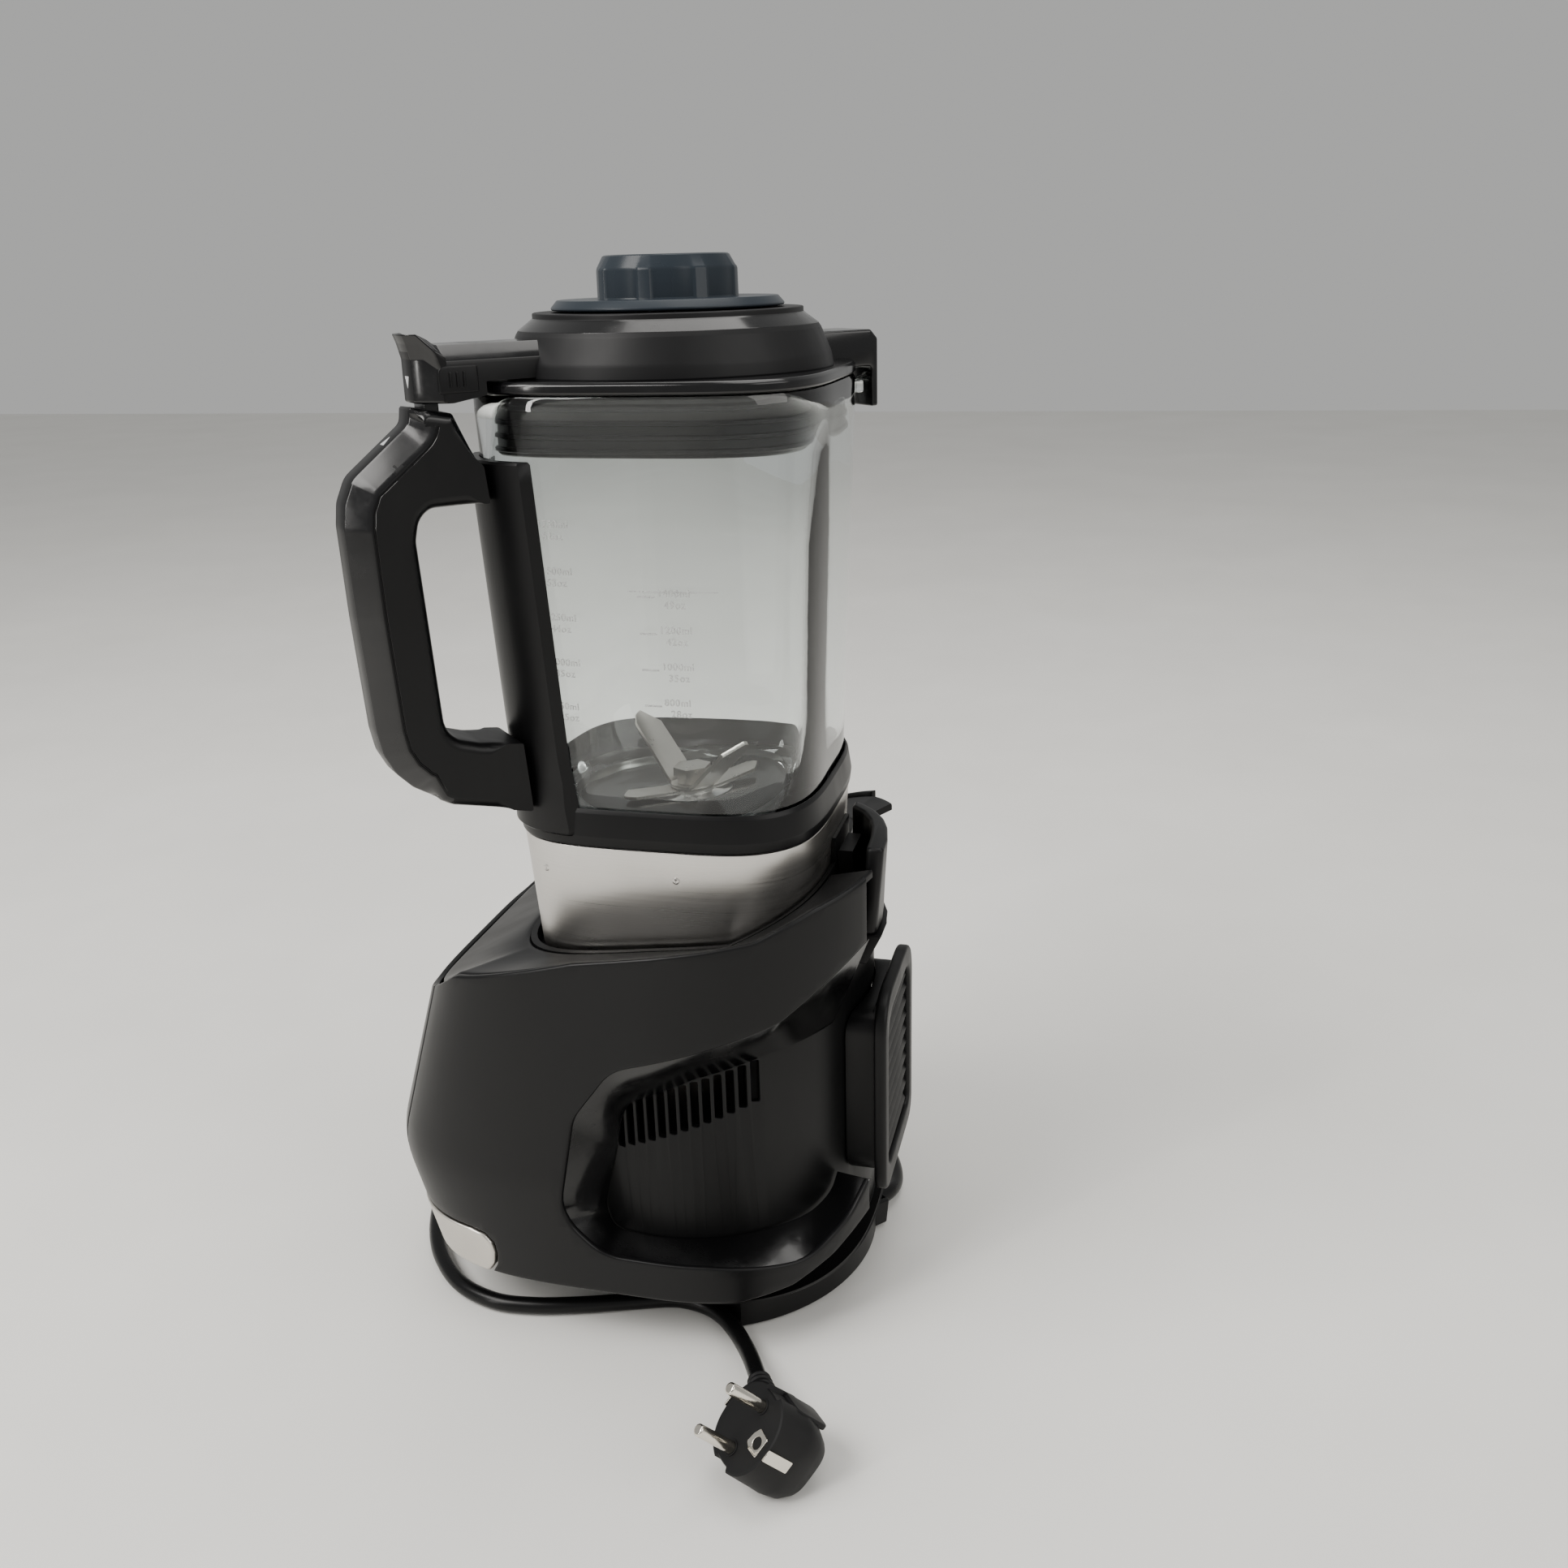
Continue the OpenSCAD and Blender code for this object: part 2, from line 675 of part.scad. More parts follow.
module jar_base_cup() {
    color("#1a1a1c")
        difference() {
            translate([0, 0, 164]) linear_extrude(48) polygon(oval(58.2));
            translate([0, 0, 167]) linear_extrude(60) polygon(oval(55.7));
            translate([0, 0, 160]) cylinder(r = 12.3, h = 10);
        }
}

module heater_plate() {
    color("#2a2b2e") tube(plate_r, 17, plate_z[0], plate_z[1]);
}

module heater_element() {
    color("#8e8f92") translate([0, 0, 214.5]) rotate_extrude() translate([34, 0]) circle(4, $fn = 32);
}

module heater_plug() {
    color("#121214")
        difference() {
            box([-21, 9], [58, 66.4], [170, 212]);
            jar_loft(band_half, gap);
        }
}

spine_rise = 5.7 / 137;    // widening of the glass per millimetre of height
function spine_half(z) = 63.3 + (z - 241) * spine_rise;

module handle_spine() {
    steps = [242, 310, 378.5];
    color("#17171a")
        intersection() {
            difference() {
                jar_loft([for (z = steps) [z, spine_half(z) + 4]]);
                jar_loft([for (z = [241, 310, 380]) [z, spine_half(z) + gap]]);
            }
            rotate([0, 0, handle_angle]) box([40, 120], [-17, 17], [200, far]);
        }
}

module handle_grip() {
    body = [[75, 243], [77.8, 238], [112.4, 247.6], [126, 256], [132.7, 262.7], [137, 271],
        [138.8, 280.5], [140, 325], [140.2, 358.6], [139, 367], [135, 375.7], [110.6, 399.8],
        [95.5, 397], [87.5, 380], [78, 378]];
    opening = [[75, 363], [75, 267.7], [81.5, 267.7], [98, 270.5], [105.5, 273.6], [109, 277],
        [110.3, 281.5], [112.2, 352], [110.5, 359.5], [106.7, 363.4]];
    color("#131316")
        difference() {
            fin(body, handle_angle, handle_w);
            fin(opening, handle_angle, handle_w + 2);
            // Socket for the lid's latch tongue
            rotate([0, 0, handle_angle]) box([98.4, 105.6], [-7, 7], [385, far]);
            jar_loft([for (z = [230, 310, 385]) [z, spine_half(z) + 4.3]]);
        }
}

module blade_bearing() {
    color("#8f9194")
        difference() {
            union() {
                translate([0, 0, 164.2]) cylinder(r = 12, h = 60);
                translate([0, 0, 218.5]) cylinder(r = 16.7, h = 7);
                translate([0, 0, 225.4]) cylinder(r1 = 14, r2 = 10, h = 1.2);
            }
            cylinder(r = blade_shaft_r + run, h = far);
        }
}

// Two wings on a hub: each rises at an angle from the hub
module blade(z, length, tilts, turn) {
    wing_t = 1.8;
    reach = length - 8;
    color("#c4c6c8")
        translate([0, 0, z]) rotate([0, 0, turn])
            difference() {
                union() {
                    cylinder(r = 9, h = wing_t);
                    for (i = [0, 1]) rotate([0, 0, 180 * i])
                        translate([7.5, 0, 0]) rotate([0, -tilts[i], 0])
                            linear_extrude(wing_t)
                                polygon([[-1, -6.5], [reach * 0.8, -6.2], [reach, 1],
                                    [reach * 0.97, 3.5], [reach * 0.85, 6], [-1, 6]]);
                }
                translate([0, 0, -50]) cylinder(r = blade_shaft_r + run, h = 100);
            }
}

module lower_blade() { blade(226.8, wing_len, [2, 5], -48); }
module upper_blade() { blade(229.2, wing_len + 14, [43, 43], 54); }

module blade_shaft() {
    color("#b4b6b9") translate([0, 0, 152]) cylinder(r = blade_shaft_r, h = nut_z + 6.5 - 152);
}

module blade_nut() {
    color("#c8cacc")
        difference() {
            union() {
                translate([0, 0, nut_z]) cylinder(r = 6.2, h = 3.5);
                translate([0, 0, nut_z + 3.4]) cylinder(r = 7.8, h = 4, $fn = 6);
            }
            translate([0, 0, nut_z - 0.4]) cylinder(r = blade_shaft_r + run, h = 7);
        }
}

module drive_dog() {
    color("#35363a")
        difference() {
            translate([0, 0, 151.5]) linear_extrude(12) polygon(star(0));
            cylinder(r = blade_shaft_r + run, h = far);
        }
}

// ---------------------------------------------------------------- lid
module lid_shell() {
    hook = [[58, 405], [58, 418.5], [89, 418.5], [92.3, 415], [92.3, 386.5], [88.6, 386.5],
        [88.6, 403.2], [76, 403.2]];
    color("#1a1b1e")
        difference() {
            union() {
                rotate_extrude() polygon([[30, 404.5], [64.5, 404.5], [65, 407], [64.2, 412], [60, 422.5],
                    [53.5, 427.4], [53.5, lid_top_z], [30, lid_top_z]]);
                translate([0, 0, flange_z]) linear_extrude(407 - flange_z) polygon(oval(69.6));
                fin(hook, hook_angle, 26);
            }
            translate([0, 0, 300]) cylinder(r = lid_bore_r, h = 200);
            rotate([0, 0, handle_angle]) box([49.2, 120], [-arm_w / 2 - gap, arm_w / 2 + gap], [407.2, far]);
        }
}

module lid_gasket() {
    ring_z = [381, 386, 391, 396];
    color("#0f0f10")
        difference() {
            union() {
                translate([0, 0, 379]) linear_extrude(23) polygon(oval(62.4));
                for (z = ring_z) translate([0, 0, z]) linear_extrude(1.6) polygon(oval(63.4));
            }
            translate([0, 0, 370]) linear_extrude(60) polygon(oval(56));
        }
}

module lid_arm() {
    outline = [[49.7, 407.5], [49.7, 419], [52, arm_top], [104, arm_top], [110.6, 425.4], [108, 419],
        [108.2, 400.4], [96, 400.4], [82.6, 402.5], [82.6, 407.5]];
    color("#121215")
        difference() {
            union() {
                fin(outline, handle_angle, arm_w);
                rotate([0, 0, handle_angle]) box([99, 105], [-6, 6], [388, 401]);
            }
            // Pockets for the two release buttons
            rotate([0, 0, handle_angle]) for (s = [-1, 1])
                translate([95, s * (arm_w / 2 + 5), 411])
                    rotate([90, 0, 0]) translate([0, 0, -11.6])
                        linear_extrude(23.2) rounded(18.6, 14.6, 2.3);
        }
}

// Push plate in the side of the arm, with three upright ribs to grip
module lid_release(side) {
    plate_w = 3.2;
    y0 = 11;
    color("#1e1e22")
        rotate([0, 0, handle_angle]) mirror([0, side < 0 ? 1 : 0, 0])
            translate([95, y0, 411]) rotate([-90, 0, 0]) {
                linear_extrude(plate_w) rounded(18, 14, 2);
                for (x = [-4, 0, 4]) translate([x, 0, plate_w - 0.1]) linear_extrude(1) rounded(1.6, 9, 0.7);
            }
}
module lid_release_near() { lid_release(1); }
module lid_release_far() { lid_release(-1); }

module cap_seal() {
    color("#111112") tube(seal_r, seal_r - 4, 405, 429.8);
}

module cap_disc() {
    color("#4d565e") {
        rotate_extrude() polygon([[0, 430], [46.2, 430], [46.2, 431], [44, 434], [0, 434]]);
        difference() {
            rotate_extrude() polygon([[0, 433.9], [28.5, 433.9], [28, 445], [24.8, 450], [0, 450]]);
            for (i = [0:knob_ribs - 1]) rotate([0, 0, (i + 0.5) * 360 / knob_ribs])
                box([28, 40], [-9, 9], [434, 460]);
        }
    }
}

// ---------------------------------------------------------------- mains lead
// Frame of the place where the lead leaves: X runs along the lead
module at_exit() {
    translate(lead_exit) rotate([0, 8, 144]) children();
}

module lead_channel(half) {
    box([half > 8 ? -3 : 0, 60], [-half, half], [-40, half - 0.2]);
}

module cord_gland() {
    color("#141416")
        at_exit() rotate([0, 90, 0])
            difference() {
                union() {
                    translate([0, 0, -8]) cylinder(r = 6.5, h = 11);
                    translate([0, 0, 3]) cylinder(r1 = 6, r2 = 4.7, h = 21);
                    translate([0, 0, 0.2]) cylinder(r = 7.2, h = 1.8);
                }
                translate([0, 0, -1]) cylinder(r = lead_d / 2 + 0.1, h = 30);
            }
}

function smooth(p, i, t) =
    let (n = len(p), a = p[max(i - 1, 0)], b = p[i], c = p[min(i + 1, n - 1)], d = p[min(i + 2, n - 1)])
    0.5 * ((2 * b) + (c - a) * t + (2 * a - 5 * b + 4 * c - d) * t * t + (3 * b - a - 3 * c + d) * t * t * t);

module swept(route, r, sides, per_span) {
    path = concat([for (i = [0:len(route) - 2], j = [0:per_span - 1]) smooth(route, i, j / per_span)],
        [route[len(route) - 1]]);
    n = len(path);
    loft([for (i = [0:n - 1])
        let (d = unit(path[min(i + 1, n - 1)] - path[max(i - 1, 0)]), u = unit(cross([0, 0, 1], d)), v = cross(d, u))
        [for (k = [0:sides - 1]) path[i] + r * (cos(360 * (k + 0.5) / sides) * v - sin(360 * (k + 0.5) / sides) * u)]]);
}

module mains_lead() {
    color("#101011") swept(concat(lead_route, [plug_pt([6.5, 38, -25])]), lead_d / 2, 8, 2);
}

module in_plug() {
    translate(plug_pos) rotate(plug_turn) children();
}

module plug_body() {
    rear = [[-15, -17], [15, -17], [17, -6], [14, 16], [-10, 17], [-17, 5]];
    color("#121213")
        difference() {
            in_plug() {
                difference() {
                    translate([0, 0, -15]) cylinder(r = plug_face_r, h = 15);
                    for (s = [-1, 1]) box([-20, 20], [s * 17.9 - 1, s * 17.9 + 1], [-16, 1]);
                    for (s = [-1, 1]) box([s * 17.5 - 2, s * 17.5 + 2], [-2.5, 2.5], [-16, 1]);
                }
                hull() {
                    translate([0, 0, -16]) linear_extrude(2) polygon(rear);
                    translate([1, 0, -28]) linear_extrude(1) scale(0.82) polygon(rear);
                }
                hull() {
                    translate([2, 12, -20]) sphere(7.5, $fn = 24);
                    translate([6.5, 38, -25]) rotate([-100, -11, 0]) translate([0, 0, -3])
                        cylinder(r = 5, h = 3, $fn = 24);
                }
            }
            // Pin bores and the hole of the earth contact
            in_plug() for (s = [-1, 1]) translate([s * pin_gap / 2, 0, -8]) cylinder(r = pin_shank_r + run, h = 10);
            in_plug() translate([0, -10, -12]) cylinder(r = 2.6, h = 20);
            in_plug() box([-4.3, 4.3], [-13.3, -6.7], [-1.2, 1]);
        }
}

module plug_pins() {
    tip = 1.6;
    color("#cfcfcb")
        in_plug() for (s = [-1, 1]) translate([s * pin_gap / 2, 0, -8]) {
            // The shank held by the plug is a little thinner than the pin
            cylinder(r = pin_shank_r, h = 9);
            translate([0, 0, 8.4]) cylinder(r = pin_d / 2, h = pin_len - tip - 0.4);
            translate([0, 0, 8 + pin_len - tip]) cylinder(r1 = pin_d / 2, r2 = pin_d / 4, h = tip);
        }
}

module plug_earth() {
    color("#d6d2c4")
        in_plug() difference() {
            union() {
                box([-4, 4], [-13, -7], [-1, -0.1]);
                for (s = [-1, 1]) box([-2.6, 2.6], [s * 17.3 - 0.35, s * 17.3 + 0.35], [-13, -0.6]);
            }
            translate([0, -10, -3]) cylinder(r = 2.4, h = 5);
        }
}

// ---------------------------------------------------------------- assembly
side_shroud_right();
side_shroud_left();
front_fascia();
top_deck();
jar_well();
rear_housing();
recess_bezel_right();
recess_bezel_left();
vent_box();
vent_grille();
connector_hood();
heater_socket();
base_pan();
foot_ring();
chin_trim();
control_panel();
display_window();
control_board();
power_board();
motor_stator();
motor_mount();
motor_bearings();
cord_gland();
base_screws();
mains_lead();
plug_body();
plug_pins();
plug_earth();
motor_shaft();
motor_armature();
cooling_fan();
drive_socket();
power_button();
start_button();
blend_button();
soup_button();
crush_button();
clean_button();
glass_jar();
jar_collar();
steel_band();
jar_base_cup();
heater_plate();
heater_element();
heater_plug();
handle_grip();
handle_spine();
blade_bearing();
upper_blade();
lower_blade();
blade_shaft();
blade_nut();
drive_dog();
lid_shell();
lid_gasket();
lid_arm();
lid_release_near();
lid_release_far();
cap_seal();
cap_disc();
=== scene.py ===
"""Looks of the countertop blender. Shapes are worked out in millimetres and scaled to metres as meshes."""
from contextlib import contextmanager
from math import acos, asin, atan2, cos, hypot, pi, radians, sin, sqrt, tan

import bmesh
import bpy
import numpy as np
from mathutils import Euler, Matrix, Vector

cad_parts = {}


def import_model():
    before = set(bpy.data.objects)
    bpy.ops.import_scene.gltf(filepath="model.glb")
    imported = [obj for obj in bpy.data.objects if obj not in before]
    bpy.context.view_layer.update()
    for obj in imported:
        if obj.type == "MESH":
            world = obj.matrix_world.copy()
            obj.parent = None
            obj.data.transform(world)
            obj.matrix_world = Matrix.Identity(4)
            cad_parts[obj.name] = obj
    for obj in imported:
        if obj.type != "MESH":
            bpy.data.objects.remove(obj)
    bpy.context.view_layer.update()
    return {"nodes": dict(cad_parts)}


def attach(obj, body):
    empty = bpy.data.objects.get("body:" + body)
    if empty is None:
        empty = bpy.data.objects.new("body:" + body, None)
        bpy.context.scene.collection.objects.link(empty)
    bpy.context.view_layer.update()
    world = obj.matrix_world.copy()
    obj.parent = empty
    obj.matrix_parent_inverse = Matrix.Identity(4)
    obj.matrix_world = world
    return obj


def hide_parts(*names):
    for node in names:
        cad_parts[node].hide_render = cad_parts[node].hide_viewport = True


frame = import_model()
nodes = frame["nodes"]
MM = 0.001
C45 = sqrt(0.5)
JAR_N, PAN_N = 3.8, 2.6

# ------------------------------------------------------------------ camera


def make_camera():
    """The viewing angle of the picture: a phone held above, on the +X side."""
    bearing, pitch, roll = radians(104.08), radians(19.76), radians(1.554)
    ahead = Vector((-sin(bearing), cos(bearing), 0))
    right = Vector((cos(bearing), sin(bearing), 0))
    up = Vector((0, 0, 1))
    look = ahead * cos(pitch) - up * sin(pitch)
    down = -(ahead * sin(pitch) + up * cos(pitch))
    x_axis = right * cos(roll) + down * sin(roll)
    y_axis = right * sin(roll) - down * cos(roll)
    camera = bpy.data.objects.new("camera", bpy.data.cameras.new("camera"))
    camera.matrix_world = Matrix.Translation((0.5773, 0.1867, 0.4459)) @ Matrix(
        (x_axis, y_axis, -look)).transposed().to_4x4()
    camera.data.sensor_width = 36
    camera.data.lens = 33.37
    camera.data.clip_start = 0.01
    bpy.context.scene.collection.objects.link(camera)
    bpy.context.scene.camera = camera


make_camera()

# ------------------------------------------------------------------ materials


class Nodes:
    """A material's node tree, with short calls for the nodes used here."""

    def __init__(self, name):
        self.material = bpy.data.materials.new(name)
        self.material.use_nodes = True
        self.tree = self.material.node_tree
        self.shader = self.tree.nodes["Principled BSDF"]
        self.place = self.tree.nodes.new("ShaderNodeTexCoord").outputs["Object"]

    def new(self, kind, **values):
        node = self.tree.nodes.new(kind)
        for key, value in values.items():
            setattr(node, key, value)
        return node

    def link(self, a, b):
        self.tree.links.new(a, b)

    def set(self, **values):
        names = {"color": "Base Color", "rough": "Roughness", "metal": "Metallic", "coat": "Coat Weight",
                 "coat_rough": "Coat Roughness", "spec": "Specular IOR Level", "ior": "IOR",
                 "clear": "Transmission Weight", "aniso": "Anisotropic"}
        for key, value in values.items():
            self.shader.inputs[names[key]].default_value = value

    def stretched(self, x, y, z):
        mapping = self.new("ShaderNodeMapping")
        mapping.inputs["Scale"].default_value = (x, y, z)
        self.link(self.place, mapping.inputs["Vector"])
        return mapping.outputs["Vector"]

    def noise(self, scale, detail=3, vector=None, rough=0.55):
        node = self.new("ShaderNodeTexNoise")
        node.inputs["Scale"].default_value = scale
        node.inputs["Detail"].default_value = detail
        node.inputs["Roughness"].default_value = rough
        self.link(vector or self.place, node.inputs["Vector"])
        return node.outputs["Fac"]

    def ramp(self, fac, low, high, at=(0.3, 0.7)):
        """Value from low to high as fac crosses the two places."""
        node = self.new("ShaderNodeMapRange")
        node.inputs["From Min"].default_value, node.inputs["From Max"].default_value = at
        node.inputs["To Min"].default_value, node.inputs["To Max"].default_value = low, high
        self.link(fac, node.inputs["Value"])
        return node.outputs["Result"]

    def colors(self, fac, a, b, at=(0.3, 0.7)):
        node = self.new("ShaderNodeValToRGB")
        ends = node.color_ramp.elements
        ends[0].position, ends[1].position = at
        ends[0].color, ends[1].color = (*a, 1), (*b, 1)
        self.link(fac, node.inputs["Fac"])
        return node.outputs["Color"]

    def multiply(self, a, b):
        node = self.new("ShaderNodeMath", operation="MULTIPLY")
        self.link(a, node.inputs[0])
        self.link(b, node.inputs[1])
        return node.outputs[0]

    def bump(self, *layers):
        """Each layer is (height output, strength, distance in mm)."""
        normal = None
        for height, strength, distance in layers:
            node = self.new("ShaderNodeBump")
            node.inputs["Strength"].default_value = strength
            node.inputs["Distance"].default_value = distance * MM
            self.link(height, node.inputs["Height"])
            if normal:
                self.link(normal, node.inputs["Normal"])
            normal = node.outputs["Normal"]
        self.to("Normal", normal)

    def to(self, name, output):
        self.link(output, self.shader.inputs[name])


def plastic(name, color, rough, grain=0.12, grain_mm=0.35, wear=0.5, dust=0.35, coat=0.0):
    """Moulded plastic: fine spark-eroded grain, handling marks, a little dust and faint scratches."""
    m = Nodes(name)
    m.set(metal=0, spec=0.22, coat=coat, coat_rough=0.06)
    cloudy = m.noise(14, 4)
    smear = m.noise(55, 5, m.stretched(1, 0.45, 0.3))
    lighter = tuple(min(1, c * (1 + wear) + 0.001) for c in color)
    m.to("Base Color", m.colors(cloudy, color, lighter, (0.25, 0.85)))
    low, high = rough * (1 - 0.22 * dust - 0.05), min(1, rough * (1 + 0.3 * dust + 0.05))
    m.to("Roughness", m.ramp(smear, low, high, (0.3, 0.75)))
    fine = m.noise(1 / (grain_mm * MM), 2)
    scratch = m.ramp(m.noise(90, 2, m.stretched(6, 1, 0.25)), 0, 1, (0.68, 0.72))
    m.bump((fine, grain, 0.02), (scratch, 0.05, 0.02))
    return m.material


def gloss(name, color, rough=0.07):
    """High-gloss moulding: nearly a mirror, with finger smears, hairline scratches and a faint waviness."""
    m = Nodes(name)
    m.set(metal=0, spec=0.4, coat=0.12, coat_rough=0.05)
    m.to("Base Color", m.colors(m.noise(9, 3), color, tuple(c * 1.6 + 0.0006 for c in color)))
    smear = m.noise(38, 6, m.stretched(1, 0.6, 0.8), 0.65)
    m.to("Roughness", m.ramp(smear, rough, rough * 3.4, (0.45, 0.8)))
    wave = m.noise(26, 1)
    hair = m.ramp(m.noise(240, 2, m.stretched(4, 1, 0.2)), 0, 1, (0.7, 0.74))
    m.bump((wave, 0.12, 0.05), (hair, 0.04, 0.01))
    return m.material


def brushed(name, color, rough, along, grain=0.22):
    """Metal ground in one direction: long fine lines, darker and lighter, with a few handling marks."""
    m = Nodes(name)
    m.set(metal=1, aniso=0.55)
    lines = m.noise(1, 6, m.stretched(*along), 0.7)
    broad = m.noise(16, 3)
    dark = tuple(c * 0.86 for c in color)
    m.to("Base Color", m.colors(lines, dark, color, (0.3, 0.7)))
    m.to("Roughness", m.ramp(m.multiply(lines, broad), rough * 0.75, rough * 1.45, (0.12, 0.4)))
    m.bump((lines, grain, 0.012))
    return m.material


def satin_metal(name, color, rough, grain=0.1):
    """Bead-blasted or ground metal with no clear direction."""
    m = Nodes(name)
    m.set(metal=1)
    speck = m.noise(900, 3)
    m.to("Base Color", m.colors(m.noise(30, 4), tuple(c * 0.9 for c in color), color))
    m.to("Roughness", m.ramp(m.noise(70, 5), rough * 0.8, rough * 1.3))
    m.bump((speck, grain, 0.012))
    return m.material


def rubber(name, color, rough=0.55):
    """Silicone or rubber: a soft sheen, tiny specks and lint."""
    m = Nodes(name)
    m.set(metal=0, spec=0.3)
    m.to("Base Color", m.colors(m.noise(220, 4), color, tuple(c * 1.5 + 0.002 for c in color), (0.45, 0.8)))
    m.to("Roughness", m.ramp(m.noise(48, 5), rough * 0.8, min(1, rough * 1.2)))
    m.bump((m.noise(1600, 2), 0.12, 0.02), (m.noise(60, 3), 0.08, 0.08))
    return m.material


def clear_glass(name):
    """Thick pressed glass: nearly clear, a green cast, flow lines and finger smudges."""
    m = Nodes(name)
    m.set(color=(0.955, 0.985, 0.975, 1), clear=1, ior=1.47, spec=0.5, metal=0)
    smudge = m.noise(24, 6, m.stretched(1, 1, 0.6), 0.62)
    m.to("Roughness", m.ramp(smudge, 0.0, 0.09, (0.56, 0.86)))
    flow = m.noise(9, 2, m.stretched(1, 1, 0.22))
    m.bump((flow, 0.28, 0.9), (m.noise(34, 3), 0.1, 0.22))
    return m.material


def frosted(name):
    """The raised graduations moulded in the glass."""
    m = Nodes(name)
    m.set(clear=0.55, ior=1.47, metal=0, spec=0.6)
    m.to("Base Color", m.colors(m.noise(600, 3), (0.60, 0.61, 0.60), (0.78, 0.79, 0.78)))
    m.to("Roughness", m.ramp(m.noise(800, 2), 0.22, 0.42))
    m.bump((m.noise(1500, 2), 0.2, 0.03))
    return m.material


def printed(name, color):
    """Pad-printed ink with a slightly uneven edge to its gloss."""
    m = Nodes(name)
    m.set(metal=0, spec=0.4)
    m.to("Base Color", m.colors(m.noise(900, 2), tuple(c * 0.85 for c in color), color))
    m.to("Roughness", m.ramp(m.noise(500, 2), 0.4, 0.6))
    m.bump((m.noise(2500, 2), 0.1, 0.01))
    return m.material


def windings(name):
    """Copper windings under varnish, wound round the axis."""
    m = Nodes(name)
    m.set(metal=1)
    turns = m.new("ShaderNodeTexWave", wave_type="BANDS", bands_direction="Z")
    turns.inputs["Scale"].default_value = 900
    m.link(m.place, turns.inputs["Vector"])
    m.to("Base Color", m.colors(turns.outputs["Fac"], (0.25, 0.1, 0.04), (0.72, 0.36, 0.17)))
    m.to("Roughness", m.ramp(m.noise(80, 3), 0.25, 0.45))
    m.bump((turns.outputs["Fac"], 0.4, 0.1))
    return m.material


def circuit(name):
    """Solder mask over copper tracks."""
    m = Nodes(name)
    m.set(metal=0, spec=0.5)
    tracks = m.new("ShaderNodeTexBrick")
    tracks.inputs["Scale"].default_value = 120
    m.link(m.place, tracks.inputs["Vector"])
    m.to("Base Color", m.colors(tracks.outputs["Fac"], (0.01, 0.08, 0.035), (0.03, 0.2, 0.08)))
    m.to("Roughness", m.ramp(m.noise(90, 3), 0.25, 0.4))
    m.bump((tracks.outputs["Fac"], 0.3, 0.03))
    return m.material


MAT = {
    "casing": plastic("black_satin", (0.0028, 0.0028, 0.0031), 0.36, grain=0.10),
    "deck": plastic("black_deck", (0.0028, 0.0028, 0.0031), 0.33, grain=0.08),
    "housing": plastic("black_housing", (0.0024, 0.0024, 0.0026), 0.42, grain=0.14),
    "grip": plastic("black_grip", (0.0024, 0.0024, 0.0027), 0.34, grain=0.1, dust=0.6),
    "lid": plastic("black_lid", (0.0042, 0.0042, 0.0046), 0.44, 0.16, grain_mm=0.5, wear=0.9, dust=0.6),
    "gloss": gloss("black_gloss", (0.0015, 0.0015, 0.0018)),
    "bezel": gloss("black_recess", (0.0013, 0.0013, 0.0015), 0.14),
    "chamfer": gloss("black_polished", (0.0018, 0.0018, 0.0022), 0.13),
    "cap": plastic("blue_grey_satin", (0.017, 0.023, 0.030), 0.30, grain=0.07, wear=0.25),
    "seal": rubber("black_silicone", (0.0022, 0.0022, 0.0025), 0.34),
    "foot": rubber("black_rubber", (0.006, 0.006, 0.006), 0.7),
    "cord": plastic("black_pvc", (0.0028, 0.0028, 0.003), 0.3, grain=0.03, dust=0.7),
    "plug": plastic("black_plug", (0.0036, 0.0036, 0.0039), 0.5, grain=0.25, grain_mm=0.6, wear=0.8),
    "steel_band": brushed("brushed_band", (0.66, 0.64, 0.61), 0.3, (3, 3, 2600), 0.12),
    "blade": brushed("ground_blade", (0.60, 0.57, 0.53), 0.3, (60, 60, 60), 0.1),
    "nickel": satin_metal("nickel_plate", (0.78, 0.74, 0.66), 0.16, 0.04),
    "silver": satin_metal("silver_trim", (0.66, 0.63, 0.58), 0.34, 0.14),
    "cast": satin_metal("cast_aluminium", (0.5, 0.51, 0.52), 0.5, 0.4),
    "steel": satin_metal("ground_steel", (0.6, 0.61, 0.62), 0.3, 0.08),
    "laminations": brushed("laminated_steel", (0.4, 0.38, 0.36), 0.42, (5, 5, 1500), 0.4),
    "plate": plastic("dark_heater_plate", (0.008, 0.009, 0.0095), 0.24, grain=0.05, coat=0.3),
    "glass": clear_glass("jar_glass"),
    "mark": frosted("moulded_marks"),
    "print": printed("light_grey_print", (0.55, 0.56, 0.57)),
    "window": gloss("smoked_window", (0.008, 0.010, 0.012), 0.05),
    "board": circuit("circuit_board"),
    "copper": windings("copper_windings"),
}

# ------------------------------------------------------------------ outlines


FULL_TURN = np.linspace(0, 2 * pi, 6000, endpoint=False)


def egg(t, a, front, rear, nf, nr):
    """Superellipse at the angles t: half width a, depths in front and behind, and their squareness."""
    c, s = np.cos(t), np.sin(t)
    d = np.where(s < 0, front, rear)
    n = np.where(s < 0, nf, nr)
    return np.stack([a * np.sign(c) * np.abs(c) ** (2 / n), d * np.sign(s) * np.abs(s) ** (2 / n)], -1)


def evenly(points, count):
    """The closed line through the points, cut into equal steps."""
    loop = np.vstack([points, points[:1]])
    run = np.r_[0, np.cumsum(np.linalg.norm(np.diff(loop, axis=0), axis=1))]
    at = np.linspace(0, run[-1], count, endpoint=False)
    return np.stack([np.interp(at, run, loop[:, k]) for k in range(loop.shape[1])], -1)


def squircle(count, n=JAR_N):
    return evenly(egg(FULL_TURN, 1, 1, 1, n, n), count)


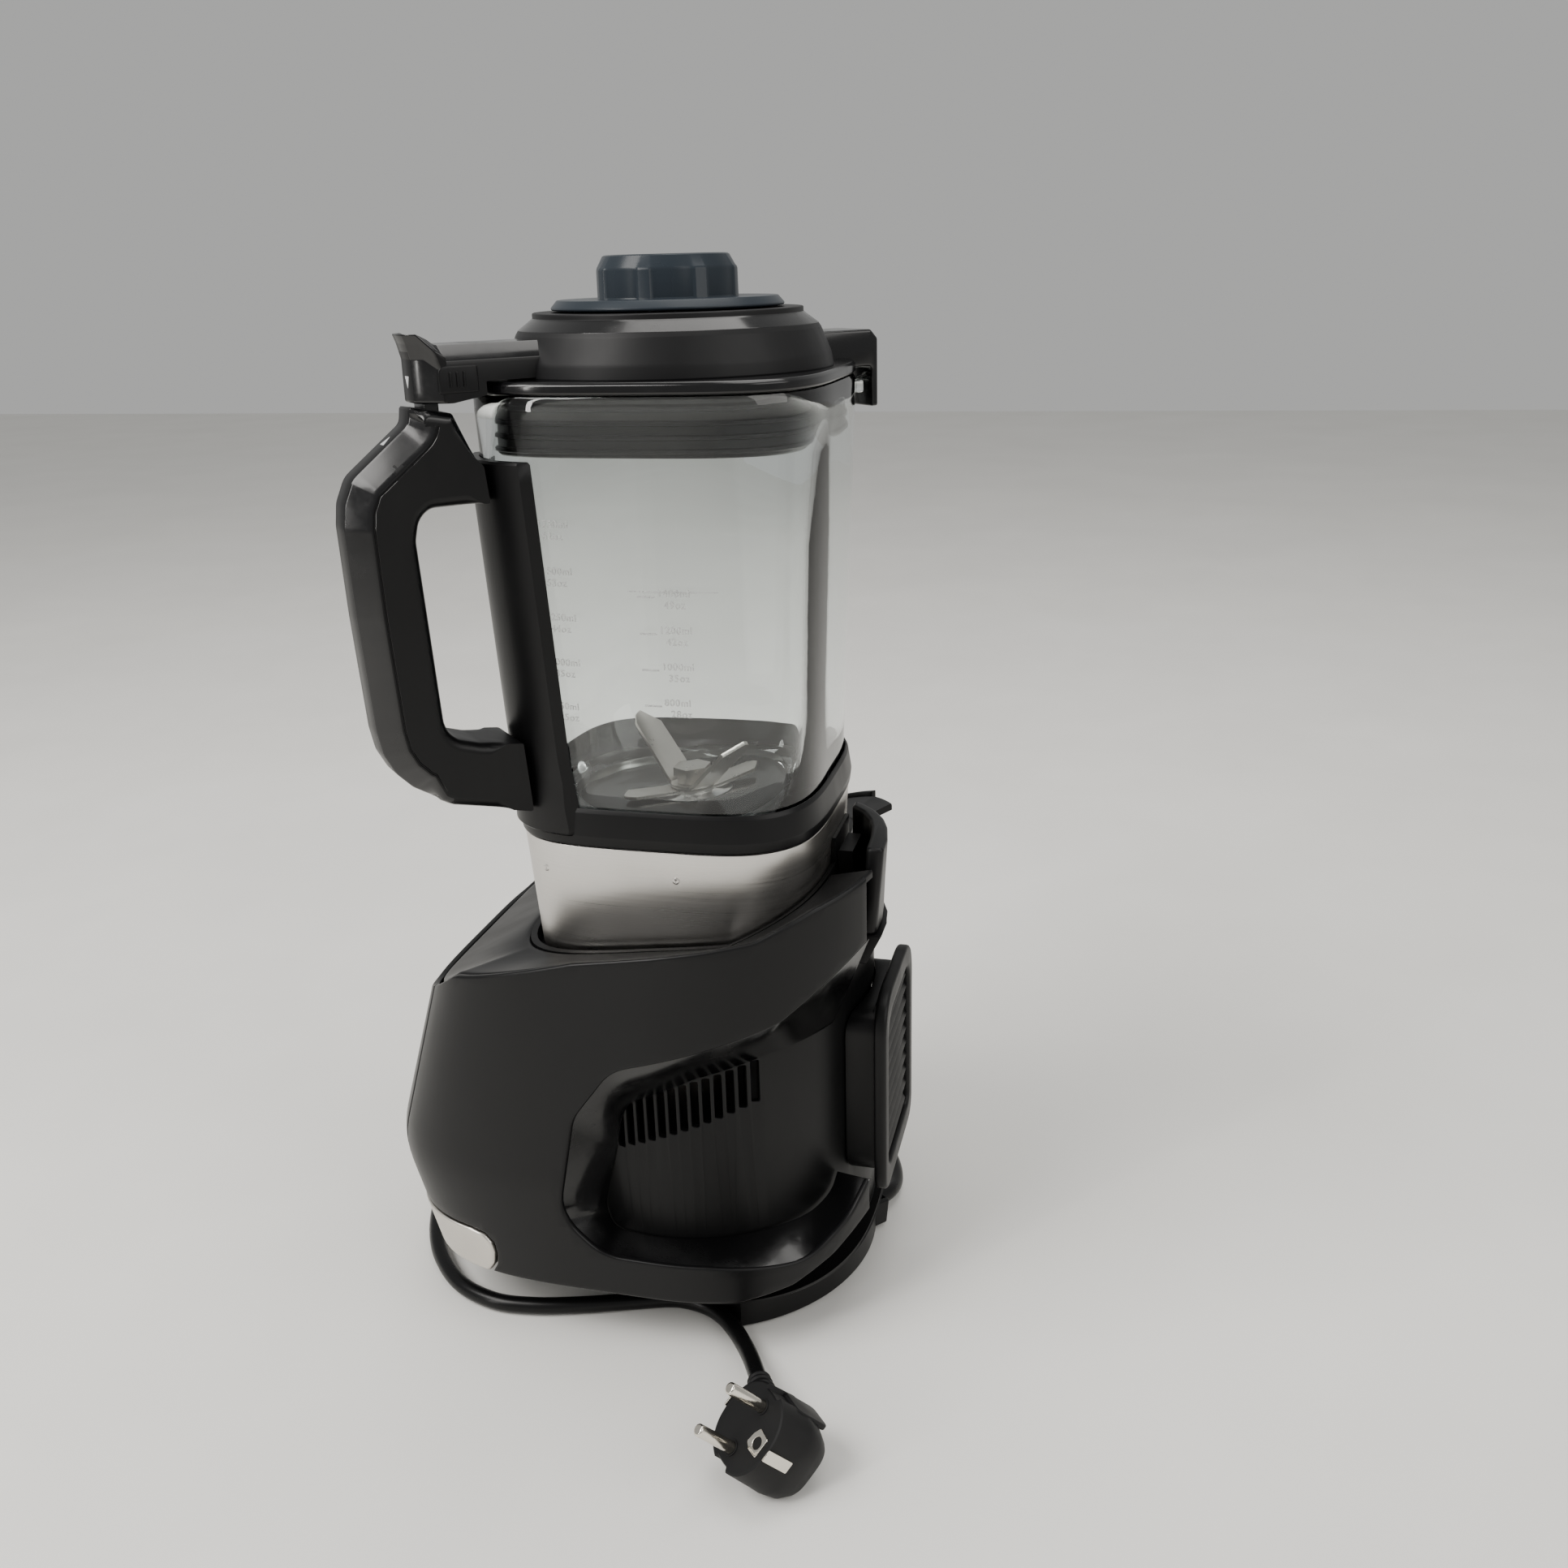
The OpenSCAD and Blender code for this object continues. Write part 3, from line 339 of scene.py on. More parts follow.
def circle(count):
    t = np.linspace(0, 2 * pi, count, endpoint=False)
    return np.stack([np.cos(t), np.sin(t)], -1)


def rounded(points, radius, steps=5):
    """A closed polygon with its corners rounded; radius is one value or one for each corner."""
    points = [np.array(p, float) for p in points]
    n = len(points)
    radii = radius if hasattr(radius, "__len__") else [radius] * n
    line = []
    for i, here in enumerate(points):
        back, ahead = points[i - 1] - here, points[(i + 1) % n] - here
        lb, la = np.linalg.norm(back), np.linalg.norm(ahead)
        back, ahead = back / lb, ahead / la
        angle = acos(max(-1, min(1, float(back @ ahead))))
        if radii[i] <= 0 or angle > pi - 0.03:
            line.append(here)
            continue
        cut = min(radii[i] / tan(angle / 2), 0.46 * lb, 0.46 * la)
        a, b = here + back * cut, here + ahead * cut
        for s in np.linspace(0, 1, steps + 1):
            line.append((1 - s) ** 2 * a + 2 * s * (1 - s) * here + s * s * b)
    return np.array(line)


def nearest(line, place):
    """Index of the line's point that is closest to a place."""
    return int(np.argmin(np.linalg.norm(line - np.array(place), axis=1)))


def fine(points, step):
    """A closed line with its long stretches divided."""
    line = []
    for p, q in zip(points, np.roll(points, -1, axis=0)):
        parts = max(1, int(np.linalg.norm(q - p) / step))
        line += [p + (q - p) * k / parts for k in range(parts)]
    return np.array(line)


# ------------------------------------------------------------------ meshes


def link(name, mesh):
    piece = bpy.data.objects.new(name, mesh)
    bpy.context.scene.collection.objects.link(piece)
    return piece


@contextmanager
def editing(mesh):
    """The mesh opened for editing, and written back at the end."""
    bm = bmesh.new()
    bm.from_mesh(mesh)
    yield bm
    bm.to_mesh(mesh)
    bm.free()


def evaluated(piece):
    """New mesh of an object with its modifiers or its curve's depth applied."""
    bpy.context.view_layer.update()
    return bpy.data.meshes.new_from_object(piece.evaluated_get(bpy.context.evaluated_depsgraph_get()))


def tidy(mesh, angle=35):
    """Closes the seams of a mesh, turns its faces outwards and smooths all but its sharp edges."""
    with editing(mesh) as bm:
        bmesh.ops.remove_doubles(bm, verts=bm.verts, dist=2e-6)
        bmesh.ops.recalc_face_normals(bm, faces=bm.faces)
        for f in bm.faces:
            f.smooth = True
        for e in bm.edges:
            e.smooth = len(e.link_faces) == 2 and e.calc_face_angle(0) < radians(angle)
    return mesh


def skin(name, rings, close_rings=True, caps=False, angle=35):
    """Mesh through rings of points (an array: ring, point, xyz) in millimetres."""
    rings = np.asarray(rings, float)
    m, n = rings.shape[:2]
    faces = []
    for j in range(m if close_rings else m - 1):
        k = (j + 1) % m
        faces += [(j * n + i, j * n + (i + 1) % n, k * n + (i + 1) % n, k * n + i) for i in range(n)]
    if caps:
        faces += [tuple(range(n)), tuple((m - 1) * n + i for i in reversed(range(n)))]
    mesh = bpy.data.meshes.new(name)
    mesh.from_pydata([tuple(p * MM) for p in rings.reshape(-1, 3)], [], faces)
    return link(name, tidy(mesh, angle))


def at_height(outline, z):
    return np.column_stack([outline, np.full(len(outline), z)])


def turned(name, section, outline, angle=35):
    """Ring of a closed section [half width, z] carried round a unit outline."""
    return skin(name, [at_height(outline * h, z) for h, z in section], angle=angle)


def prism(outlines, depth, edge, steps=3):
    """Mesh of flat outlines (first the edge, then the holes), depth thick, with rounded edges."""
    data = bpy.data.curves.new("outline", "CURVE")
    data.dimensions = "2D"
    data.fill_mode = "BOTH"
    data.extrude = depth / 2 - edge
    data.bevel_depth = edge
    data.bevel_resolution = steps
    data.offset = -edge
    for outline in outlines:
        spline = data.splines.new("POLY")
        spline.points.add(len(outline) - 1)
        places = np.column_stack([outline, np.zeros(len(outline)), np.ones(len(outline))])
        spline.points.foreach_set("co", places.ravel())
        spline.use_cyclic_u = True
    holder = bpy.data.objects.new("outline", data)
    bpy.context.scene.collection.objects.link(holder)
    mesh = evaluated(holder)
    bpy.data.objects.remove(holder)
    with editing(mesh) as bm:
        bmesh.ops.remove_doubles(bm, verts=bm.verts, dist=1e-3)
        bmesh.ops.recalc_face_normals(bm, faces=bm.faces)
        bmesh.ops.dissolve_limit(bm, angle_limit=0.005, verts=bm.verts, edges=bm.edges)
    return mesh


def bend(mesh, name, place, step_u=0, step_v=0, angle=35):
    """Divides a flat mesh by a grid and moves each point to place(u, v, w), in millimetres."""
    with editing(mesh) as bm:
        co = np.array([v.co for v in bm.verts])
        for axis, step in ((0, step_u), (1, step_v)):
            if not step:
                continue
            for at in np.arange(co[:, axis].min() + step / 2, co[:, axis].max(), step):
                where, normal = [0, 0, 0], [0, 0, 0]
                where[axis], normal[axis] = at, 1
                bmesh.ops.bisect_plane(bm, geom=bm.verts[:] + bm.edges[:] + bm.faces[:], dist=1e-4,
                                       plane_co=where, plane_no=normal)
        for v in bm.verts:
            v.co = Vector(place(*v.co)) * MM
    return link(name, tidy(mesh, angle))


def fin(name, outlines, angle, width, edge, shift=0, steps=3):
    """Prism of [r, z] outlines that stands in the plane at an angle round the axis."""
    c, s = cos(radians(angle)), sin(radians(angle))
    return bend(prism(outlines, width, edge, steps), name,
                lambda u, v, w: (u * c + (w + shift) * s, u * s - (w + shift) * c, v))


def join(name, pieces):
    """One object from several, keeping their materials."""
    bm = bmesh.new()
    mesh = bpy.data.meshes.new(name)
    slots = []
    for piece in pieces:
        part = bmesh.new()
        part.from_mesh(piece.data)
        index = {}
        for i, m in enumerate(piece.data.materials):
            if m not in slots:
                slots.append(m)
            index[i] = slots.index(m)
        for f in part.faces:
            f.material_index = index.get(f.material_index, 0)
        part.transform(piece.matrix_world)
        temp = bpy.data.meshes.new("part")
        part.to_mesh(temp)
        bm.from_mesh(temp)
        part.free()
        bpy.data.meshes.remove(temp)
        bpy.data.objects.remove(piece)
    bm.to_mesh(mesh)
    bm.free()
    for m in slots:
        mesh.materials.append(m)
    return link(name, mesh)


def finish(piece, material, body, replaces=()):
    """Gives a piece its material and body, and hides the CAD nodes that it stands for."""
    if not piece.data.materials:
        piece.data.materials.append(MAT[material])
    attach(piece, body)
    if replaces:
        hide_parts(*replaces)
    return piece


def assemble(name, parts, material, body, replaces=()):
    """Joins parts into one finished piece; a part without a material of its own gets the given one."""
    for part in parts:
        if not part.data.materials:
            part.data.materials.append(MAT[material])
    return finish(join(name, parts), material, body, replaces)


def paint(node, material):
    piece = nodes[node]
    piece.data.materials.clear()
    piece.data.materials.append(MAT[material])


# ------------------------------------------------------------------ mains lead and plug

LEAD_R = 3.75
PIN_R, PIN_GAP, PIN_LENGTH = 2.4, 19, 19
LEAD = [[1, 61.5, 12.5], [-5.4, 66.2, 11.4], [-11.8, 70.8, 10.3], [-18.2, 75.5, 9.2],
        [-24, 79.6, 8.1], [-31.5, 83, 7], [-40, 84, 5.5], [-50, 82.8, 4.5], [-62, 79, 4],
        [-76, 72, 4], [-90, 60.5, 4], [-102, 42, 4], [-110, 18, 4], [-114, -10, 4],
        [-114, -45, 4], [-106, -85, 4], [-88, -115, 4], [-58, -134, 4],
        [-22, -142, 4], [14, -139, 4], [48, -125, 4], [72, -104, 4], [82, -82, 4],
        [82, -62, 4], [77, -40, 4], [70, -18, 4], [65, -2, 4], [64.5, 8, 4], [67, 18, 4],
        [72, 26, 4], [79, 33, 4], [88, 39.5, 5], [98, 45, 8], [106, 49, 10]]
EXIT_PLACE = Matrix.Translation(Vector(LEAD[0])) @ Euler((0, radians(8), radians(144))).to_matrix().to_4x4()
PLUG_PLACE = Matrix.Translation(Vector((156, 59.5, 27.5))) @ Euler(
    (radians(-5), radians(-43), radians(133))).to_matrix().to_4x4()
BOOT_END = PLUG_PLACE @ Vector((6.5, 38, -25))


def catmull(points, per_span):
    """Smooth line through the points, as part.scad sweeps the lead."""
    p = [Vector(q) for q in points]
    line = []
    for i in range(len(p) - 1):
        a, b, c, d = p[max(i - 1, 0)], p[i], p[i + 1], p[min(i + 2, len(p) - 1)]
        for t in (k / per_span for k in range(per_span)):
            line.append(0.5 * (2 * b + (c - a) * t + (2 * a - 5 * b + 4 * c - d) * t * t
                               + (3 * b - a - 3 * c + d) * t ** 3))
    return line + [p[-1]]


def sweep(name, path, radii, sides=20):
    """Round tube along a path, with its own radius at each point."""
    rings = []
    turn = Vector((0, 0, 1))
    for i, p in enumerate(path):
        ahead = (path[min(i + 1, len(path) - 1)] - path[max(i - 1, 0)]).normalized()
        side = ahead.cross(turn).normalized()
        turn = side.cross(ahead).normalized()
        rings.append([p + float(radii[i]) * (side * cos(a) + turn * sin(a))
                      for a in (2 * pi * k / sides for k in range(sides))])
    return skin(name, [[list(q) for q in ring] for ring in rings], close_rings=False, caps=True)


def mains_lead():
    path = catmull(LEAD + [list(BOOT_END)], 8)
    length = sum((b - a).length for a, b in zip(path, path[1:]))
    lead = sweep("mains_lead_sheath", path, [LEAD_R] * len(path))
    return finish(lead, "cord", "base", ["mains_lead"]), path, length


def strain_relief():
    """Tapered ribbed sleeve on the lead, from its collar in the channel out to where the lead is free."""
    along = np.linspace(-8, 24, 129)
    radii = []
    for x in along:
        if x < 0:
            radii.append(6.5)
        elif x < 2:
            radii.append(7.2)
        else:
            rib = 0.5 if (x - 2) % 3.6 < 1.5 and x > 4 else 0
            radii.append(6.2 - (x - 2) * 1.5 / 22 - rib)
    sleeve = sweep("strain_relief_sleeve", [EXIT_PLACE @ Vector((x, 0, 0)) for x in along], radii, 32)
    return finish(sleeve, "cord", "base", ["cord_gland"])


def plug_frame(piece):
    m = PLUG_PLACE.copy()
    m.translation = m.translation * MM
    piece.data.transform(m)
    return piece


def plug_section(size_x, size_y, squareness, notch, count=96):
    """Cross-section of the plug: a rounded square with shallow notches at the sides."""
    t = np.linspace(0, 2 * pi, count, endpoint=False)
    p = egg(t, size_x, size_y, size_y, squareness, squareness)
    for i, angle in enumerate(t):
        for middle in (0, pi):
            away = abs((angle - middle + pi) % (2 * pi) - pi)
            if away < 0.2:
                p[i, 0] -= np.sign(p[i, 0]) * notch
    return p


def plug():
    """Angled two-pin plug with side earth contacts."""
    levels = [(-0.0, 16.8, 16.2, 2.25, 1.6), (-0.5, 17.5, 16.9, 2.25, 1.8), (-14, 17.9, 17.3, 2.3, 1.8),
              (-16, 17.6, 17.2, 2.7, 0.6), (-22, 16.3, 16.6, 3.2, 0), (-27.5, 13.2, 14.4, 3.6, 0),
              (-29, 12.2, 13.4, 3.6, 0)]
    rings = []
    for z, a, b, n, notch in levels:
        rings.append(at_height(plug_section(a, b, n, notch), z))
    body = plug_frame(skin("plug_moulding", rings, close_rings=False, caps=True, angle=28))
    parts = [body]
    start, end = Vector((1.5, 12, -20)), Vector((6.5, 38, -25))
    path = [start.lerp(end, s) for s in np.linspace(0, 1, 40)]
    radii = []
    for s in np.linspace(0, 1, 40):
        groove = 0.75 if (s * 9) % 1 < 0.42 and s > 0.25 else 0
        radii.append(8.3 - 3.4 * s - groove)
    parts.append(plug_frame(sweep("boot", path, radii, 28)))
    pad = prism([rounded([(-9, -6.5), (9, -6.5), (9, 6.5), (-9, 6.5)], 3)], 2.4, 0.7)
    raised = bend(pad, "pad", lambda u, v, w: (16.2 + w, v - 1, u - 18))
    parts.append(plug_frame(raised))
    moulding = assemble("plug_moulding", parts, "plug", "base", ["plug_body"])
    pins = []
    for side in (-1, 1):
        across = Matrix.Translation((side * PIN_GAP / 2 * MM, 0, 0))
        shank = [(0.01, -2), (PIN_R, -2), (PIN_R, PIN_LENGTH), (0.01, PIN_LENGTH)]
        pin = turned("pin", rounded(shank, [0, 0, 2.3, 0], 8), circle(40))
        pin.data.materials.append(MAT["nickel"])
        ring = [(PIN_R + 0.05, -1), (3.2, -1), (3.2, 0.35), (PIN_R + 0.05, 0.35)]
        sleeve = turned("collar", rounded(ring, 0.15), circle(40))
        sleeve.data.materials.append(MAT["plug"])
        for part in (pin, sleeve):
            part.data.transform(across)
            pins.append(plug_frame(part))
    metal = assemble("plug_pin_pair", pins, "nickel", "base", ["plug_pins"])
    hole = circle(32) * 2.4 + [0, -10]
    tab = [(-4, -13.6), (4, -13.6), (4.4, -7), (1.6, -5.6), (-2.6, -5), (-4.2, -8)]
    contact = prism([rounded(tab, 0.8), hole], 0.7, 0.2)
    earth = [plug_frame(bend(contact, "contact", lambda u, v, w: (u, v, w + 0.15)))]
    for side in (-1, 1):
        strip = prism([rounded([(-2.4, -13), (2.4, -13), (2.4, 0.3), (-2.4, 0.3)], 0.6)], 0.8, 0.25)
        bent = bend(strip, "strip", lambda u, v, w, side=side: (u, side * (17.35 + w), v))
        earth.append(plug_frame(bent))
    contacts = assemble("plug_earth_contacts", earth, "nickel", "base", ["plug_earth"])
    return [moulding, metal, contacts]


lead, lead_path, lead_length = mains_lead()
relief = strain_relief()
plug_parts = plug()
[list(p * MM) for p in lead_path]

# ------------------------------------------------------------------ base casing

RIM = np.array([(-140, 150), (-107, 150), (-80, 171), (-52, 178.6), (-24, 186), (17, 192.5), (50, 197),
                (70, 205.7), (88, 210.5), (120, 216)], float)
WELL_TOP = np.array([(-90, 168), (-2, 180), (33, 184.5), (67, 202), (90, 208)], float)
RECESS_EDGE = [(88, 183), (72, 170), (58, 160), (27, 150), (-10, 139), (-28, 115), (-38, 66), (-20, 48),
               (26, 47), (67, 43), (81, 55), (88, 67)]
RECESS_FLOOR = [(70, 139), (60, 137.5), (48, 136), (20, 128.5), (-11, 114), (-15, 96), (-24, 60), (-20, 50),
                (25, 50), (62, 51), (69, 56), (71, 64)]
FRONT_N, REAR_N = 4.2, 2.3
EDGE_Z, CREST_Z, CREST_R = 28, 80, 12
SHELL_T = 3
HOUSING_R, HOUSING_T = 80, 3


def lerp(a, b, t):
    return a + (b - a) * t


def rim_z(y):
    return np.interp(y, RIM[:, 0], RIM[:, 1])


def base_a(z):
    return lerp(95, 97.5, (z - EDGE_Z) / 52) if z < CREST_Z else 97.5 - (z - CREST_Z) / 54


def base_rear(z):
    return lerp(93, 95, (z - EDGE_Z) / 52) if z < CREST_Z else 95


def base_front(z):
    low, high = 117 + (z - EDGE_Z) * 0.27, 131 - (z - CREST_Z) * 0.3215
    if z < CREST_Z - CREST_R:
        return low
    if z > CREST_Z + CREST_R:
        return high
    u = (z - CREST_Z + CREST_R) / (2 * CREST_R)
    return lerp(117 + (CREST_Z - CREST_R + u * CREST_R - EDGE_Z) * 0.27, 131 - u * CREST_R * 0.3215, u)


def base_pt(t, z, grow=0.0):
    p = egg(np.array([t]), base_a(z) + grow, base_front(z) + grow, base_rear(z) + grow, FRONT_N, REAR_N)[0]
    return float(p[0]), float(p[1])


ANGLES = np.linspace(-pi / 2, pi / 2, 2001)
MIDDLE = egg(ANGLES, base_a(120), base_front(120), base_rear(120), FRONT_N, REAR_N)
RUN = np.r_[0, np.cumsum(np.linalg.norm(np.diff(MIDDLE, axis=0), axis=1))]


def on_casing(u, v, w):
    """Point of the casing at the distance u round it from the front middle, the height v and w outwards."""
    t = float(np.interp(abs(u), RUN, ANGLES))
    x, y = base_pt(t, v, w - SHELL_T / 2)
    return (x if u >= 0 else -x), y, v


def u_at_y(y, z):
    """Distance round the casing to the place at [y, z] on its side."""
    d, n = (base_front(z), FRONT_N) if y < 0 else (base_rear(z), REAR_N)
    s = min(1, (abs(y) / d) ** (n / 2)) * (1 if y >= 0 else -1)
    return float(np.interp(asin(s), ANGLES, RUN))


def u_at_x(x, z):
    t = -acos(min(1, (abs(x) / base_a(z)) ** (FRONT_N / 2)))
    return float(np.interp(t, ANGLES, RUN))


def side_line(points, step=4.0):
    """A line in [y, z], divided and laid out on the casing as [u, z]."""
    line = []
    for (y0, z0), (y1, z1) in zip(points, points[1:]):
        parts = max(1, int(hypot(y1 - y0, z1 - z0) / step))
        line += [(lerp(y0, y1, k / parts), lerp(z0, z1, k / parts)) for k in range(parts)]
    line.append(points[-1])
    return [(u_at_y(y, z), z) for y, z in line]


def smooth_line(points, radius):
    """An open line with its inner corners rounded."""
    loop = rounded([(p[0], p[1]) for p in points], [0] + [radius] * (len(points) - 2) + [0], 6)
    return [tuple(p) for p in loop]


SEAM_X = 74
FAR_WING_Y = 70


def recess_top(y):
    return lerp(170, 183, (y - 72) / 16)


def seam(z_low, x):
    """The upright edge where fascia and shroud meet, from z_low up to the rim."""
    line = []
    for z in np.linspace(z_low, 160, 40):
        u = u_at_x(x, z)
        y = base_pt(float(np.interp(u, RUN, ANGLES)), z)[1]
        if z >= rim_z(y):
            line.append((u, float(rim_z(y))))
            break
        line.append((u, z))
    return line


def shroud(name, side, node):
    up = seam(50.4, SEAM_X + 0.25)
    corner_y = base_pt(float(np.interp(up[-1][0], RUN, ANGLES)), up[-1][1])[1]
    end = 87 if side > 0 else FAR_WING_Y
    inner = [tuple(p) for p in RIM if corner_y < p[0] < end]
    rim = [(corner_y, rim_z(corner_y))] + inner + [(end, rim_z(end))]
    recess = smooth_line([(end, recess_top(end))] + RECESS_EDGE[2:-1] + [(87, 66.4)], 22)
    chin = [(-74.5, 28), (-71.6, 33), (-70.6, 39), (-71.6, 45), (-75.5, 49), (-82, 50.4)]
    lower = smooth_line([(87, 50.5), (75, 40), (60, 32), (40, 28), (-60, 28)], 8) + chin
    outline = up + side_line(smooth_line(rim, 14))[1:] + side_line(recess, 2.5) + side_line(lower)
    outline = np.array(outline)
    outline[:, 0] *= side
    flat = prism([outline], SHELL_T, 1.1, 3)
    piece = bend(flat, name, on_casing, 5, 5, 40)
    return finish(piece, "casing", "base", [node])


def fascia():
    left = seam(50.4, SEAM_X - 0.25)
    xs = np.linspace(SEAM_X - 0.3, -SEAM_X + 0.3, 40)
    top = []
    for x in xs[1:-1]:
        z = 150.0
        for _ in range(8):
            u = u_at_x(x, z)
            z = float(rim_z(base_pt(float(np.interp(u, RUN, ANGLES)), z)[1]))
        top.append((u_at_x(x, z) * (1 if x >= 0 else -1), z))
    outline = np.array(left + top + [(-u, z) for u, z in reversed(left)])
    hole = rounded([(-52.6, 87.6), (52.6, 87.6), (52.6, 142.4), (-52.6, 142.4)], 8)
    piece = bend(prism([outline, hole], SHELL_T, 0.9, 3), "fascia_panel", on_casing, 5, 5, 40)
    return finish(piece, "casing", "base", ["front_fascia"])


def chin():
    end = [(-71.9, 39), (-72.9, 33), (-76, 28.4)]
    top = [(-83, 49.7), (-76, 48.2), (-72.9, 44.6)]
    side = [(u_at_y(y, z), z) for y, z in top + end]
    outline = np.array(side + [(-u, z) for u, z in reversed(side)])
    strip = prism([outline], 3, 0.9, 3)
    piece = bend(strip, "chin_trim_strip", lambda u, v, w: on_casing(u, v, w + 0.6), 5, 4, 40)
    return finish(piece, "silver", "base", ["chin_trim"])


def deck():
    """Sloping top between the rim and the well, with rounded edges."""
    count = 360
    mouth = evenly(egg(FULL_TURN, 67.3, 67.3, 67.3, JAR_N, JAR_N), count)
    section = [(0, -3.4), (0, -1.4), (0.006, -0.6), (0.02, -0.15), (0.05, 0.0)]
    section += [(s, 0.0) for s in np.linspace(0.1, 0.9, 14)]
    section += [(0.95, -0.05), (0.98, -0.35), (1.0, -1.0), (1.0, -3.0)]
    columns = []
    for i in range(count):
        a = atan2(mouth[i][1], mouth[i][0])
        z = 180.0
        # The outer point in the same direction from the axis, found by trial
        for _ in range(6):
            half, front, rear = (reach(z) - SHELL_T - 0.75 for reach in (base_a, base_front, base_rear))
            trial = egg(ANGLES, half, front, rear, FRONT_N, REAR_N)
            k = int(np.argmin(np.abs(np.arctan2(trial[:, 1], trial[:, 0]) - asin(sin(a)))))
            out = trial[k] * (1 if cos(a) >= 0 else -1, 1)
            z = float(rim_z(out[1])) - 0.9
        zm = float(np.interp(mouth[i][1], WELL_TOP[:, 0], WELL_TOP[:, 1]))
        columns.append([(lerp(out[0], mouth[i][0], s), lerp(out[1], mouth[i][1], s), lerp(z, zm, s) + dz)
                        for s, dz in section])
    keep = [i for i in range(count) if not (mouth[i][1] > 55 and -38 < mouth[i][0] < 26)]
    start = next(k for k, i in enumerate(keep) if (i - 1) % count not in keep)
    order = keep[start:] + keep[:start]
    rings = np.array([columns[i] for i in order])
    piece = skin("deck_moulding", rings, close_rings=False, caps=True, angle=50)
    return finish(piece, "deck", "base", ["top_deck"])


def bezel(name, side, node):
    """Glossy band of the recess, from the casing in to the housing; both its edges are cut into equal steps
    between the same corners, so that the corners stay opposite each other."""
    end = 86.6 if side > 0 else FAR_WING_Y - 0.4
    edge = np.array(smooth_line([(end, recess_top(end))] + RECESS_EDGE[2:-1] + [(86.6, 66.2)], 22))
    inner = [(min(70, end - 1), 139)] + RECESS_FLOOR[1:]
    floor = np.array(smooth_line(inner, 16))

    def walk(line, marks):
        cuts = [nearest(line, m) for m in marks]
        out = []
        for a, b in zip(cuts, cuts[1:]):
            part = line[a:b + 1]
            run = np.r_[0, np.cumsum(np.linalg.norm(np.diff(part, axis=0), axis=1))]
            at = np.linspace(0, run[-1], 20, endpoint=False)
            out.append(np.stack([np.interp(at, run, part[:, k]) for k in (0, 1)], -1))
        return np.vstack(out + [line[-1:]])

    picks = (3, 4, 6, 7, 9)
    e = walk(edge, [edge[0]] + [RECESS_EDGE[k] for k in picks] + [edge[-1]])
    f = walk(floor, [floor[0]] + [RECESS_FLOOR[k] for k in picks] + [floor[-1]])
    middle = np.array([30, 95])
    # Each step of the band's section: share of the way in, how far it is sunk and how far it is lifted
    section = [(0, 1.3, 0), (0.05, 0.9, 0), (0.5, 0.3, 0), (0.93, 0, 0), (1, 0, 0.2), (1, 0, 2.2),
               (0.5, 1, 2.2), (0.02, 2.6, 1.6)]
    rings = []
    for p, q in zip(e, f):
        d = (p - middle) / np.linalg.norm(p - middle)
        p = p + 0.3 * d
        x_out = on_casing(u_at_y(p[0], p[1]), p[1], SHELL_T / 2)[0]
        x_in = sqrt((HOUSING_R + 0.6) ** 2 - q[0] ** 2)
        ring = []
        for s, sink, lift in section:
            yz = lerp(p, q, s) + d * lift
            ring.append((side * (lerp(x_out, x_in, s) - sink), yz[0], yz[1]))
        rings.append(ring)
    piece = skin(name, rings, close_rings=False, caps=True, angle=50)
    return finish(piece, "bezel", "base", [node])


SIDE_SLOTS = 13


def housing():
    """Round motor housing with its cooling slots, rolled up from a flat plate."""
    corners = [(-250, 27), (250, 27), (250, 157), (66, 157), (52, 175), (-52, 175), (-66, 157), (-250, 157)]
    edge = rounded(corners, [0.5, 0.5, 0.5, 5, 3, 3, 5, 0.5])
    holes = []
    for side in (-1, 1):
        for i in range(SIDE_SLOTS):
            k = i / (SIDE_SLOTS - 1)
            y = lerp(-14, 43, k)
            u = side * HOUSING_R * acos(y / HOUSING_R)
            z0, z1 = lerp(92, 114, k), lerp(117, 134, k) - (9 if i == 0 else 0)
            half = 1.6 / sin(acos(y / HOUSING_R))
            slot = [(u - half, z0), (u + half, z0 + 0.6), (u + half, z1), (u - half, z1)]
            holes.append(rounded(slot, 0.9, 3))
    holes.append(rounded([(-29, 63), (29, 63), (29, 138), (-29, 138)], 5))
    plate = prism([edge] + holes, HOUSING_T, 0.4, 2)

    def rolled(u, v, w):
        out = HOUSING_R - HOUSING_T / 2 + w
        return out * sin(u / HOUSING_R), out * cos(u / HOUSING_R), v

    piece = bend(plate, "motor_housing", rolled, 4, 0, 40)
    return finish(piece, "housing", "base", ["rear_housing"])


GRILLE_SLATS = 10


